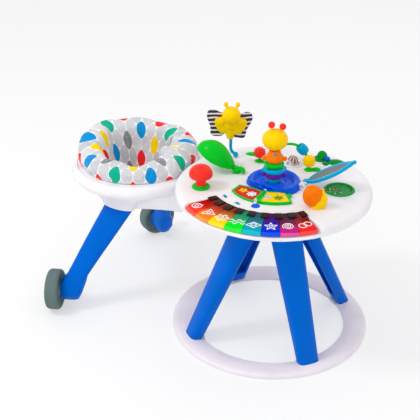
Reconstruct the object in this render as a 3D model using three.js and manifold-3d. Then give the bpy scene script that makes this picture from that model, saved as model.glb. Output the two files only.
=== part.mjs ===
// Baby activity center: a round toy table on four legs over a floor ring, and a wheeled seat
// that walks round the table on a swing arm. Millimetres, +Z up. The origin is on the floor
// under the middle of the whole object, and +X runs from the seat to the table.
import * as THREE from 'three';
import { mergeVertices } from 'three/addons/utils/BufferGeometryUtils.js';
import Module from 'manifold-3d';

const wasm = await Module();
wasm.setup();

// Driving dimensions
const gap = 0.3; // clearance between pieces that touch
const overrun = 2; // how far a cutting solid passes the face that it cuts
const mergeDistance = 1e-3;
const tableFacets = 44; // facets round the table housing, shared by the pieces that nest
const floorFacets = 40; // facets round the floor ring
const seatFacets = 40; // facets round the seat, shared by the rings that nest
const hubFacets = 28; // facets round the hub column and its bearing
const keyFacets = 72;
const viewTurn = 29.6; // the flat toys face the front of the table

const ring = {
  radius: 305, holeRadius: 235, height: 19, wall: 4, edgeHeight: 9, innerHeight: 7, crestInset: 15,
};
const table = {
  turn: 1.85, radius: 290, top: 479, lipBottom: 449, floor: 452.5, edgeRound: 17, edgeRoundHeight: 13,
  bottomRound: 6,
};
const pan = { bottom: 444.5, rimRadius: 279, rimRound: 5 };
const door = { length: 92, width: 64, thickness: 3, reach: 165, gripRadius: 8, gripInset: 13 };
const leg = {
  turn: 7.8, footReach: 254, topReach: 62, seatHeight: 20, top: 412, footHalfWidth: 32.5, topHalfWidth: 49,
  footHalfDepth: 23, topHalfDepth: 34, wall: 4, cavityStart: 46, squareness: 3, footDrop: 11,
};
const hub = { flangeRadius: 104, flangeHeight: 5.7, columnRadius: 44, boreRadius: 36, running: 0.6 };
const seat = {
  distance: 487, bellyRadius: 214, bellyHeight: 421, rimRadius: 196, rimTop: 441, skirtRadius: 125,
  skirtBottom: 330, skirtTop: 361, wall: 4, ledgeHeight: 425, ledgeRadius: 164,
};
const arm = {
  halfWidth: 58, top: 443, ringRadius: 70, flareStart: 300, slopeStart: 292, slopeEnd: 165,
  padHalfLength: 54, padOuterRadius: 139, padHeight: 20, flareAngle: 62,
};
const swivel = { innerRadius: 150, wall: 5, top: 441.6, running: 1.1, spigot: 15 };
const cushion = {
  outerRadius: 187, frontRise: 26, sideRise: 40, backRise: 70, thickness: 6, bottom: 327, bottomRadius: 92,
  throatRadius: 118, throatHeight: 393, legHoleRadius: 36, legHoleOffset: 46, facing: -60, lobes: 8,
  pucker: 0.035, columns: 36, shoulderLift: 16, shoulderAt: 232,
  frontFull_share: 0.97, backFull_share: 0.74,
};
const seatLeg = {
  topX: 480, topY: 121, ankleX: 569, ankleY: 243, footX: 586, footY: 264, topHalfLength: 51,
  topHalfWidth: 17, ankleHeight: 112, ankleHalfLength: 34, ankleHalfWidth: 23, footHeight: 88,
  footHalfLength: 43, footHalfWidth: 31, footBottom: 34, footBottomHalf: 30, turn: 25, squareness: 3.2,
};
const wheel = {
  x: 625, y: 290.5, radius: 65, width: 42, treadRound: 9, hubRadius: 26, hubFace: 20, recess: 6,
  boreRadius: 5.4, webInset: 9,
};
const axle = { radius: 5, capRadius: 13, capHeight: 5, grip: 24 };
const keys = {
  count: 8, start: -123.5, end: -39, innerRadius: 188, outerRadius: 288.6, crest: 2.5, pocketFloor: 463,
  thickness: 10, sideGap: 0.8, edgeRound: 16, edgeFall: 11, lip: 7, lipBottom: 466.6,
};
const bezel = { innerRadius: 184, fingerRadius: 217, fingerHalfAngle: 3, rise: 6, depth: 3, side: 1.6 };
const dish = {
  radius: 82, flange: 5, rimRadius: 77, height: 20, bowlRadius: 54, bowlDepth: 8, notchRadius: 59.5,
  notchStart: -140, notchEnd: -33, notchFlare: 20, floorRise: 14.2,
};
const stack = {
  postRadius: 8, postFlats: 8, purpleRadius: 26, purpleHeight: 18, cyanRadius: 33, cyanHeight: 17,
  greenRadius: 29.5, greenHeight: 16, orangeRadius: 27, orangeHeight: 36, headRadius: 37.5, headHeight: 63,
  knobRadius: 6.5, knobReach: 30, antennaRadius: 10, antennaSpread: 16, antennaShift: 4.5,
  antennaTilt: 10, antennaStem: 3.2, antennaRise: 11, lift: 24.5, running: 0.5, socket_share: 0.3,
  footRadius: 20, purpleTurn: 20, cyanTurn: 38, greenTurn: 75, orangeTurn: 24,
};
const bug = {
  baseX: -188, baseY: 114, baseRadius: 10.5, stalkRadius: 4.7, lean: 15.6, bendLift: 26,
  bodyLift: 64, bodyHalfWidth: 15, bodyDepth: 13, bodyTall: 61, headRise: 75, headRadius: 28.5,
  shoulderHalfWidth: 45, wingRise: 8, wingTall: 82, wingReach: 67, wingTilt: 4,
  wingThickness: 4, antennaRise: 36, antennaRadius: 7.5, antennaSpread: 18, antennaStem: 2.6, running: 1,
};
const mushroom = {
  x: -178, y: -119, collarRadius: 27, collarHeight: 9, stemRadius: 16, capRadius: 35, capLift: 29,
  capTall: 43, widest_share: 0.34, travel: 3, running: 0.6,
};
const leaf = {
  x: -137, y: 20, pivotLift: 10, azimuth: -168, length: 136, halfWidth: 45, dome: 36, wall: 3,
  open: 26, pinRadius: 4, barrelRadius: 7, barrelHalf: 9, stemRadius: 4.6, stemReach: 20,
  earThickness: 5,
};
const lid = {
  x: 87, y: 32, pivotLift: 15, azimuth: 21, length: 156, halfWidth: 41, thickness: 9, border: 12.5,
  open: 28.5, pinRadius: 3.5, barrelRadius: 7.5, barrelHalf: 10, knobRadius: 6, mirrorDepth: 2,
  postThickness: 5,
};
const pond = {
  x: 181, y: 64, halfLength: 45.5, halfWidth: 44.5, azimuth: 20, rise: 3, border: 8, depth: 7, floor: 2,
  windowRise: 4, windowLow: 1, corners: 20,
};
const snail = {
  x: 160, y: -70, shellRadius: 27.5, shellHalf: 15.5, shellLift: 4.5, bodyHalf: 13, bodyLength: 40,
  headRadius: 13.5, knobRadius: 4.5, standRadius: 20, standHeight: 4,
};
const book = {
  innerRadius: 61, outerRadius: 132, pageInner: 63, spine: -87, base: 5, leftInner: -118, leftCorner: -146,
  leftCornerReach: 101, leftOuter: -131, rightInner: -34, rightOuter: -41,
  border: 4, borderAngle: 3.4, pageThickness: 3.6, pagePocket: 1.2, barrelRadius: 4.2, pinRadius: 1.7,
  postLength: 5, tabRadius: 8, tabReach: 92, tabAzimuth: -35,
};
const controls = {
  button: { reach: 146.5, azimuth: -84 }, slides: [{ reach: 162, azimuth: -123.5 },
    { reach: 161, azimuth: -103.4 }],
  buttonRadius: 12.5, buttonRise: 3, buttonSink: 4, buttonTravel: 2, slideLength: 11,
  slideHalfWidth: 4.2, slotLength: 22, slideRise: 3, slideSink: 3,
};
const redBall = { x: -109, y: 123, radius: 17.5, leafTurn: 205, leafRaise: 20, leafLength: 42 };
const yellowBall = { x: 48.5, y: 142, radius: 18.5, leafTurn: 20, leafRaise: 0, leafLength: 34 };
const ball = {
  bumps: 16, bumpRows: 8, spikeRise: 2.4, baseRadius: 15, baseHeight: 6, stemRadius: 4, leafHalf: 11,
  lift: 29,
};
const arch = {
  startX: -80, startY: 151, endX: 14, endY: 204.4, tubeRadius: 4.5, beadRadius: 16, beadHalf: 16,
  beadBore: 7, beadInset: 1.1, footRadius: 11, footHeight: 4, beadAt_share: 0.76,
};
const spinner = {
  x: -8, y: 150, radius: 16.5, rimRadius: 24, rimHeight: 6, pivotLift: 18.5, halfThickness: 11,
  collarRadius: 2.6, pinRadius: 1.6, earThickness: 3, turn: 20,
};
const leaves = {
  x: 68, y: 218, length: 36, longLength: 54, halfWidth: 15, thickness: 7, turn: -20, beadRadius: 11,
  spread: 100,
};

const tableX = (seat.distance + seat.bellyRadius - ring.radius) / 2; // table axis from the origin
const degrees = Math.PI / 180;

const paints = {
  white: [0xece8f0, 0.35], blue: [0x0a5fd6, 0.4], grey: [0x6e8281, 0.7], cloth: [0xd8dadd, 0.9],
  green: [0x12b52c, 0.35], red: [0xf23a2e, 0.35], cyan: [0x12a5e4, 0.35], orange: [0xff8a12, 0.35],
  yellow: [0xffcf12, 0.35], purple: [0x7a2bb0, 0.35], teal: [0x14b3a6, 0.35], magenta: [0xd8248c, 0.35],
  deepBlue: [0x0f46c8, 0.35], dark: [0x2a1d1c, 0.5], mirror: [0xd9dde0, 0.08], steel: [0xb9bcc0, 0.3],
  clear: [0xcfeef2, 0.1], stripe: [0x2b2b2e, 0.85],
};

// Solids
function solidOf(geometry) {
  const bare = geometry.index ? geometry.toNonIndexed() : geometry.clone();
  for (const name of Object.keys(bare.attributes)) {
    if (name !== 'position') bare.deleteAttribute(name);
  }
  const merged = mergeVertices(bare, mergeDistance);
  const points = Float32Array.from(merged.attributes.position.array);
  const corners = [];
  let volume = 0;
  for (let i = 0; i < merged.index.count; i += 3) {
    const [a, b, c] = [0, 1, 2].map((k) => merged.index.getX(i + k));
    if (a === b || b === c || a === c) continue;
    corners.push([a, b, c]);
    const [p, q, r] = [a, b, c].map((k) => new THREE.Vector3().fromArray(points, k * 3));
    volume += p.dot(q.cross(r));
  }
  const triVerts = Uint32Array.from(corners.flatMap(([a, b, c]) => (volume > 0 ? [a, b, c] : [a, c, b])));
  return new wasm.Manifold(new wasm.Mesh({ numProp: 3, vertProperties: points, triVerts }));
}

function geometryOf(solid) {
  const mesh = solid.getMesh();
  const geometry = new THREE.BufferGeometry();
  geometry.setAttribute('position', new THREE.BufferAttribute(Float32Array.from(mesh.vertProperties), 3));
  geometry.setIndex(Array.from(mesh.triVerts));
  return geometry;
}

// A geometry turned about X, then Y, then Z in degrees, and then moved
function placed(geometry, { x = 0, y = 0, z = 0, turnX = 0, turnY = 0, turnZ = 0 } = {}) {
  const turn = new THREE.Euler(turnX * degrees, turnY * degrees, turnZ * degrees, 'ZYX');
  const matrix = new THREE.Matrix4().makeRotationFromEuler(turn).setPosition(x, y, z);
  return geometry.clone().applyMatrix4(matrix);
}

function lathed(profile, segments = 48) {
  const points = profile.map(([r, z]) => new THREE.Vector2(r, z));
  const geometry = new THREE.LatheGeometry(points, segments);
  geometry.rotateX(Math.PI / 2);
  return geometry;
}

// A revolved ring whose profile closes on itself
function latheRing(profile, segments) {
  return lathed([...profile, profile[0]], segments);
}

function cylinder(radius, bottom, top, segments = 24, topRadius = radius) {
  return lathed([[0, bottom], [radius, bottom], [topRadius, top], [0, top]], segments);
}

function ballShape(radius, segments = 16, rows = 10) {
  return new THREE.SphereGeometry(radius, segments, rows);
}

function block(halfX, halfY, bottom, top) {
  const box = new THREE.BoxGeometry(2 * halfX, 2 * halfY, top - bottom);
  return placed(box, { z: (top + bottom) / 2 });
}

function plate(shape, bottom, top, curveSegments = 12) {
  const settings = { depth: top - bottom, bevelEnabled: false, curveSegments };
  const geometry = new THREE.ExtrudeGeometry(shape, settings);
  return placed(geometry, { z: bottom });
}

function outline(points) {
  return new THREE.Shape(points.map(([x, y]) => new THREE.Vector2(x, y)));
}

// A sector of a flat ring between two azimuths
function sectorShape(inner, outer, from, to) {
  const shape = new THREE.Shape();
  shape.absarc(0, 0, outer, from * degrees, to * degrees, false);
  shape.absarc(0, 0, inner, to * degrees, from * degrees, true);
  shape.closePath();
  return shape;
}

function tube(points, radius, steps, sides = 4) {
  const section = new THREE.Shape();
  section.absarc(0, 0, radius, 0, 2 * Math.PI, false);
  const path = new THREE.CatmullRomCurve3(points);
  return new THREE.ExtrudeGeometry(section, { steps, extrudePath: path, curveSegments: sides });
}

// A closed skin over rows of points, with a fan on each end row
function skin(rows) {
  const count = rows[0].length;
  const points = rows.flat();
  const faces = [];
  for (let row = 0; row + 1 < rows.length; row += 1) {
    for (let i = 0; i < count; i += 1) {
      const a = row * count + i;
      const b = row * count + (i + 1) % count;
      faces.push(a, b, b + count, a, b + count, a + count);
    }
  }
  for (const end of [0, rows.length - 1]) {
    const centre = rows[end].reduce((sum, p) => sum.add(p), new THREE.Vector3()).divideScalar(count);
    const tip = points.push(centre) - 1;
    for (let i = 0; i < count; i += 1) {
      const a = end * count + i;
      const b = end * count + (i + 1) % count;
      faces.push(...(end === 0 ? [b, a, tip] : [a, b, tip]));
    }
  }
  const geometry = new THREE.BufferGeometry().setFromPoints(points);
  geometry.setIndex(faces);
  return geometry;
}

// A rounded box section: an oval whose power makes it squarer
function oval(halfX, halfY, power, count, place) {
  return Array.from({ length: count }, (_, i) => {
    const angle = (2 * Math.PI * (i + 0.5)) / count;
    const bend = (value) => Math.sign(value) * Math.abs(value) ** (2 / power);
    return place(halfX * bend(Math.cos(angle)), halfY * bend(Math.sin(angle)));
  });
}

const mix = THREE.MathUtils.lerp;

const model = new THREE.Group();
model.position.x = tableX;
const stand = new THREE.Group();
stand.rotation.z = table.turn * degrees;
model.add(stand);

function add(name, solid, paint, parent = stand) {
  const [color, roughness] = paints[paint];
  const metalness = paint === 'mirror' || paint === 'steel' ? 1 : 0;
  const material = new THREE.MeshStandardMaterial({ color, roughness, metalness });
  const mesh = new THREE.Mesh(geometryOf(solid), material);
  mesh.name = name;
  parent.add(mesh);
}

// Floor ring and table stand

function ringOutside(lift) {
  return [
    [ring.radius - ring.wall, 0], [ring.radius, ring.wall / 2], [ring.radius, ring.edgeHeight + lift],
    [ring.radius - ring.wall, ring.height - ring.wall + lift],
    [ring.radius - ring.crestInset, ring.height + lift],
    [mix(ring.holeRadius, ring.radius, 0.35), mix(ring.innerHeight, ring.height, 0.72) + lift],
    [ring.holeRadius + ring.wall, ring.innerHeight + ring.wall / 2 + lift],
    [ring.holeRadius, ring.innerHeight + lift],
    [ring.holeRadius, 0],
  ];
}

function baseRing() {
  const channel = [
    [ring.holeRadius + ring.wall, 0], [ring.holeRadius + ring.wall, ring.innerHeight - ring.wall / 2],
    [ring.radius - ring.crestInset, ring.height - ring.wall],
    [ring.radius - 2 * ring.wall, ring.edgeHeight],
    [ring.radius - 2 * ring.wall, 0],
  ];
  return solidOf(latheRing([...ringOutside(0), ...channel], floorFacets));
}

function legSection(height, shrink, reachShift, count) {
  const share = (height - leg.seatHeight) / (leg.top - leg.seatHeight);
  const reach = mix(leg.footReach, leg.topReach, share) + reachShift;
  const halfWidth = mix(leg.footHalfWidth, leg.topHalfWidth, share) - shrink;
  const halfDepth = mix(leg.footHalfDepth, leg.topHalfDepth, share) - shrink;
  const place = (x, y) => new THREE.Vector3(reach + x, y, height);
  return oval(halfDepth, halfWidth, leg.squareness, count, place);
}

function tableLeg(azimuth) {
  const stations = [leg.footDrop, leg.top];
  const outside = solidOf(skin(stations.map((z) => legSection(z, 0, 0, 16))));
  const cavityHeights = [leg.cavityStart, leg.top + overrun];
  const cavity = solidOf(skin(cavityHeights.map((z) => legSection(z, leg.wall, 0, 12))));
  const open = solidOf(skin(cavityHeights.map((z) => legSection(z, leg.wall, -leg.topHalfDepth, 12))));
  const standing = outside.subtract(cavity).subtract(open);
  const seatCut = solidOf(latheRing(ringOutside(gap), floorFacets));
  const far = ring.radius + overrun;
  const quarterShape = outline([[gap, 0], [far, gap - far], [far, far - gap]]);
  const quarter = solidOf(plate(quarterShape, 0, leg.top + overrun));
  const upright = standing.intersect(quarter);
  const turned = solidOf(placed(geometryOf(upright), { turnZ: azimuth + leg.turn }));
  return turned.subtract(seatCut);
}

function legHub() {
  const flangeTop = leg.top + gap + hub.flangeHeight;
  const columnTop = pan.bottom - gap;
  const boreTop = columnTop - seat.wall;
  const profile = [
    [0, boreTop], [hub.boreRadius, boreTop], [hub.boreRadius, leg.top + gap],
    [hub.flangeRadius, leg.top + gap], [hub.flangeRadius, flangeTop], [hub.columnRadius, flangeTop],
    [hub.columnRadius, columnTop], [0, columnTop],
  ];
  return solidOf(lathed(profile, hubFacets));
}

// Table housing

function tabletopBody() {
  const edge = table.radius - table.edgeRound;
  const arc = (share) => [
    edge + table.edgeRound * Math.sin(share * Math.PI / 2),
    table.top - table.edgeRoundHeight * (1 - Math.cos(share * Math.PI / 2)),
  ];
  const lipInner = pan.rimRadius + gap;
  const profile = [
    [0, table.floor], [lipInner, table.floor], [lipInner, table.lipBottom],
    [table.radius - table.bottomRound, table.lipBottom],
    [table.radius - table.bottomRound / 4, table.lipBottom + table.bottomRound * 0.75],
    ...[1, 0.7, 0.35, 0].map(arc), [0, table.top],
  ];
  return solidOf(lathed(profile, tableFacets));
}

function keyPocket() {
  const side = keys.sideGap / keys.outerRadius / degrees + bezel.side;
  const outer = table.radius + overrun;
  const shape = sectorShape(bezel.innerRadius - gap, outer, keys.start - side, keys.end + side);
  return solidOf(plate(shape, keys.pocketFloor, table.top + overrun, 12));
}

function tabletop() {
  let top = tabletopBody().subtract(keyPocket());
  const { button, slides, buttonRadius, buttonSink, buttonTravel, slotLength, slideHalfWidth } = controls;
  const sunk = table.top - buttonSink - buttonTravel - gap;
  const slotFloor = table.top - controls.slideSink - gap;
  const well = cylinder(buttonRadius + gap, sunk, table.top + overrun, 20);
  const slot = block(slotLength / 2 + gap, slideHalfWidth + gap, slotFloor, table.top + overrun);
  top = top.subtract(solidOf(onRadius(well, button)));
  for (const slide of slides) {
    top = top.subtract(solidOf(onRadius(placed(slot, { turnZ: 90 }), slide)));
  }
  top = top.subtract(pondOval(gap, table.top - pond.depth - gap, table.top + overrun));
  return top.add(spinnerRim()).add(lidPosts()).add(spinePosts());
}

// A shape made round the Z axis put at a reach and an azimuth on the table
function onRadius(geometry, { reach, azimuth }) {
  return placed(placed(geometry, { x: reach }), { turnZ: azimuth });
}

// White rim round the turning mirror, with two ears for its pin
function spinnerRim() {
  const inner = spinner.radius + overrun;
  const { rimRadius, rimHeight } = spinner;
  const rim = latheRing([
    [inner, table.top - overrun], [rimRadius, table.top - overrun], [rimRadius, table.top + rimHeight / 2],
    [mix(inner, rimRadius, 0.6), table.top + rimHeight], [inner, table.top + rimHeight / 2],
  ], 20);
  const place = { x: spinner.x, y: spinner.y, azimuth: 0 };
  const holders = ears(place, inner - gap, spinner.earThickness, table.top + spinner.pivotLift,
    table.top - overrun, spinner.pinRadius);
  return solidOf(placed(rim, { x: spinner.x, y: spinner.y })).add(solidOf(holders));
}


// Two upright ears that hold a hinge pin square to an azimuth
function ears(at, half, thickness, height, bottom, pin) {
  const reach = half + thickness + overrun;
  const holes = placed(cylinder(pin + gap, -reach, reach, 10), { turnX: 90, z: height });
  const wide = pin + thickness / 2;
  let pair;
  for (const side of [-1, 1]) {
    const y = side * (half + thickness / 2 + gap);
    const round = cylinder(wide + gap, -thickness / 2, thickness / 2, 10);
    const head = solidOf(placed(round, { turnX: 90, y, z: height }));
    const ear = head.add(solidOf(placed(block(wide, thickness / 2, bottom, height), { y })));
    pair = pair ? pair.add(ear) : ear;
  }
  return placed(geometryOf(pair.subtract(solidOf(holes))), { x: at.x, y: at.y, turnZ: at.azimuth });
}

function lidPosts() {
  const pivot = table.top + lid.pivotLift;
  return solidOf(ears(lid, lid.barrelHalf, lid.postThickness, pivot, table.top - overrun, lid.pinRadius));
}

function spinePosts() {
  let posts;
  const height = table.top + book.base + gap + book.barrelRadius;
  for (const reach of [book.innerRadius + book.postLength / 2, book.outerRadius - book.postLength / 2]) {
    const half = book.postLength / 2;
    const wide = book.barrelRadius;
    const post = solidOf(block(half, wide, table.top - overrun, height)).add(
      solidOf(placed(cylinder(wide, -half, half, 16), { turnY: 90, z: height })));
    const solid = solidOf(placed(placed(geometryOf(post), { x: reach }), { turnZ: book.spine }));
    posts = posts ? posts.add(solid) : solid;
  }
  const bore = spineRod(book.pinRadius + gap, book.innerRadius - overrun, book.outerRadius + overrun);
  return posts.subtract(solidOf(bore));
}

function spineRod(radius, from, to) {
  const height = table.top + book.base + gap + book.barrelRadius;
  return placed(placed(cylinder(radius, from, to, 12), { turnY: 90, z: height }), { turnZ: book.spine });
}

function tablePan() {
  const profile = [
    [0, pan.bottom], [pan.rimRadius - pan.rimRound, pan.bottom],
    [pan.rimRadius, pan.bottom + pan.rimRound / 2],
    [pan.rimRadius, table.floor - gap], [0, table.floor - gap],
  ];
  const openingTop = pan.bottom + door.thickness;
  const opening = block(door.length / 2 + gap, door.width / 2 + gap, pan.bottom - overrun, openingTop);
  return solidOf(lathed(profile, tableFacets)).subtract(solidOf(placed(opening, { x: door.reach })));
}

function batteryDoor() {
  const body = block(door.length / 2, door.width / 2, pan.bottom, pan.bottom + door.thickness - gap);
  const grip = cylinder(door.gripRadius, pan.bottom - overrun, pan.bottom + door.thickness / 2, 16);
  const dent = solidOf(placed(grip, { x: door.length / 2 - door.gripInset }));
  return solidOf(placed(geometryOf(solidOf(body).subtract(dent)), { x: door.reach }));
}

// Swing arm and seat

function armPlan(inset) {
  const half = arm.halfWidth - inset;
  const skirt = seat.skirtRadius - inset;
  const shape = new THREE.Shape();
  const tangent = arm.flareAngle * degrees;
  const touch = [-seat.distance + skirt * Math.cos(tangent), skirt * Math.sin(tangent)];
  shape.moveTo(0, -half);
  shape.lineTo(-arm.flareStart, -half);
  shape.quadraticCurveTo(-arm.flareStart - half / 2, -half, touch[0], -touch[1]);
  shape.absarc(-seat.distance, 0, skirt, -tangent, tangent, true);
  shape.quadraticCurveTo(-arm.flareStart - half / 2, half, -arm.flareStart, half);
  shape.lineTo(0, half);
  shape.closePath();
  return shape;
}

function bowlOutside(lift) {
  return [
    [seat.skirtRadius - seat.wall - gap, seat.skirtTop - lift],
    [seat.skirtRadius + 2 * seat.wall, seat.skirtTop + seat.wall - lift],
    [mix(seat.skirtRadius, seat.bellyRadius, 0.5), mix(seat.skirtTop, seat.bellyHeight, 0.36) - lift],
    [mix(seat.skirtRadius, seat.bellyRadius, 0.86), mix(seat.skirtTop, seat.bellyHeight, 0.62) - lift],
    [seat.bellyRadius - seat.wall / 2 + lift, mix(seat.skirtTop, seat.bellyHeight, 0.84) - lift],
    [seat.bellyRadius + lift, seat.bellyHeight - lift],
  ];
}

function swingArm() {
  const side = outline([
    [overrun + arm.ringRadius, arm.top], [-seat.distance - seat.bellyRadius, arm.top],
    [-seat.distance - seat.bellyRadius, seat.skirtBottom], [-arm.slopeStart, seat.skirtBottom],
    [-arm.slopeEnd, leg.top + hub.flangeHeight + 2 * gap],
    [overrun + arm.ringRadius, leg.top + hub.flangeHeight + 2 * gap],
  ]);
  const depth = 2 * seat.bellyRadius;
  const sideSolid = solidOf(placed(plate(side, -depth / 2, depth / 2), { turnX: 90 }));
  const low = seat.skirtBottom - overrun;
  const ringBottom = leg.top + hub.flangeHeight + 2 * gap;
  let body = solidOf(plate(armPlan(0), low, arm.top, 8)).intersect(sideSolid);
  const cavity = solidOf(plate(armPlan(seat.wall), low, arm.top - seat.wall, 8));
  const drum = at(cylinder(seat.skirtRadius, low, arm.top, seatFacets));
  const boss = solidOf(cylinder(arm.ringRadius, ringBottom, arm.top, hubFacets));
  const pads = legPads();
  body = body.subtract(cavity.subtract(drum).subtract(boss)).add(boss).add(armRib());
  const hollow = cylinder(seat.skirtRadius - seat.wall, low, arm.top + overrun, seatFacets);
  body = body.subtract(at(hollow)).add(pads);
  const bowlTop = arm.top + overrun;
  const bowl = [
    [0, seat.skirtTop - gap], ...bowlOutside(gap), [seat.bellyRadius + gap, bowlTop], [0, bowlTop],
  ];
  body = body.subtract(at(lathed(bowl, seatFacets)));
  const bore = cylinder(hub.columnRadius + hub.running, ringBottom - overrun, arm.top + overrun, hubFacets);
  return body.subtract(solidOf(bore));
}

function at(geometry) {
  return solidOf(placed(geometry, { x: -seat.distance }));
}

// Rib along the middle of the hollow arm
function armRib() {
  const rib = outline([
    [-arm.ringRadius + overrun, arm.top - overrun],
    [-arm.ringRadius + overrun, leg.top + hub.flangeHeight + 2 * gap],
    [-arm.slopeEnd, leg.top + hub.flangeHeight + 2 * gap],
    [-arm.slopeStart, mix(seat.skirtBottom, arm.top, 0.35)],
    [-seat.distance + seat.skirtRadius - overrun, mix(seat.skirtBottom, arm.top, 0.35)],
    [-seat.distance + seat.skirtRadius - overrun, arm.top - overrun],
  ]);
  return solidOf(placed(plate(rib, -seat.wall / 2, seat.wall / 2), { turnX: 90 }));
}

// Thick pads on the skirt that the two seat legs screw up into
function legPads() {
  const inner = seat.skirtRadius - seat.wall;
  const top = seat.skirtBottom + arm.padHeight;
  const band = at(latheRing([
    [inner, seat.skirtBottom], [arm.padOuterRadius, seat.skirtBottom],
    [arm.padOuterRadius, top], [inner, top],
  ], seatFacets));
  const wide = arm.padOuterRadius + overrun;
  const span = at(block(arm.padHalfLength, wide, seat.skirtBottom - overrun, seat.skirtTop));
  return band.intersect(span);
}

function seatShell() {
  const outside = bowlOutside(0);
  const inner = outside.map(([r, z]) => [r - seat.wall * 0.8, z + seat.wall * 0.9]).reverse();
  const ledgeTop = seat.ledgeHeight;
  const profile = [
    [seat.skirtRadius - seat.wall - gap, seat.skirtBottom + seat.wall], ...outside,
    [mix(seat.rimRadius, seat.bellyRadius, 0.78), mix(seat.bellyHeight, seat.rimTop, 0.55)],
    [mix(seat.rimRadius, seat.bellyRadius, 0.3), mix(seat.bellyHeight, seat.rimTop, 0.93)],
    [seat.rimRadius - seat.wall * 0.6, seat.rimTop],
    [seat.rimRadius - seat.wall * 0.6, ledgeTop], [seat.ledgeRadius, ledgeTop],
    [seat.ledgeRadius, ledgeTop - seat.wall],
    [seat.rimRadius - seat.wall, ledgeTop - seat.wall],
    ...inner.slice(2), [seat.skirtRadius - 2 * seat.wall - gap, seat.skirtBottom + seat.wall],
  ];
  return at(latheRing(profile, seatFacets));
}

function swivelRing() {
  const outer = seat.rimRadius - seat.wall * 0.6 - swivel.running;
  const bottom = seat.ledgeHeight + gap;
  const spigotRadius = seat.ledgeRadius - swivel.running;
  const low = bottom - swivel.spigot;
  const bevel = swivel.wall / 4;
  return at(latheRing([
    [swivel.innerRadius, low], [spigotRadius, low], [spigotRadius, bottom], [outer, bottom],
    [outer, swivel.top - bevel], [outer - bevel, swivel.top], [swivel.innerRadius, swivel.top],
  ], seatFacets));
}

// Padded sling: rolls over the swivel ring, high at the back, with a hanging seat and two leg holes
function seatSling() {
  const lowRoll = swivel.top + gap;
  const row = (radius, height) => Array.from({ length: cushion.columns }, (_, i) => {
    const angle = (2 * Math.PI * i) / cushion.columns;
    const back = (1 - Math.cos(angle)) / 2;
    const atSides = (cushion.sideRise - cushion.backRise / 2) * Math.sin(angle) ** 2;
    const shoulder = Math.max(0, Math.cos(angle - cushion.shoulderAt * degrees)) ** 4;
    const level = mix(cushion.frontRise, cushion.backRise, back ** 1.15);
    const rise = level + atSides + cushion.shoulderLift * shoulder;
    const pucker = 1 + cushion.pucker * Math.cos(cushion.lobes * angle);
    const r = typeof radius === 'function' ? radius(rise, pucker) : radius;
    const turned = angle + cushion.facing * degrees;
    return new THREE.Vector3(r * Math.cos(turned), r * Math.sin(turned), height(rise, pucker, back));
  });
  const { outerRadius, thickness, throatRadius, throatHeight, bottomRadius, bottom } = cushion;
  const under = (radius, height) => row(radius, () => height);
  const fullness = (back) => mix(cushion.frontFull_share, cushion.backFull_share, back);
  const rows = [
    under(bottomRadius * 0.35, bottom), under(bottomRadius, bottom + thickness / 2),
    under(throatRadius - thickness / 2, throatHeight - thickness),
    under(swivel.innerRadius - thickness, lowRoll - swivel.spigot),
    under(swivel.innerRadius - gap * 4, lowRoll), under(outerRadius - thickness, lowRoll),
    row((rise, pucker) => outerRadius * mix(pucker, 1, 0.8), (rise) => lowRoll + rise * 0.3),
    row((rise, pucker) => outerRadius * 0.985 * mix(pucker, 1, 0.7), (rise) => lowRoll + rise * 0.66),
    row((rise, pucker) => outerRadius * 0.9 * pucker,
      (rise, pucker) => lowRoll + rise * 0.97 * mix(pucker, 1, 0.5)),
    row((rise, pucker) => mix(throatRadius, outerRadius, 0.55) * pucker, (rise) => lowRoll + rise),
    row((rise, pucker) => mix(throatRadius, outerRadius, 0.2) * pucker,
      (rise, pucker, back) => lowRoll + rise * fullness(back) - thickness),
    row((rise, pucker) => (throatRadius - thickness) * pucker,
      (rise, pucker, back) => mix(lowRoll - thickness, throatHeight + thickness * 3, Math.sqrt(back))),
    under(throatRadius - thickness * 3, throatHeight - thickness * 4),
    under(bottomRadius - thickness, bottom + thickness * 2), under(bottomRadius * 0.35, bottom + thickness),
  ];
  let sling = solidOf(skin(rows));
  for (const side of [-1, 1]) {
    const hole = cylinder(cushion.legHoleRadius, bottom - 2 * thickness, throatHeight - thickness * 3, 20);
    const moved = placed(hole, { x: cushion.legHoleOffset * 0.5, y: side * cushion.legHoleOffset });
    sling = sling.subtract(solidOf(placed(moved, { turnZ: cushion.facing })));
  }
  return at(geometryOf(sling));
}

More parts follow.
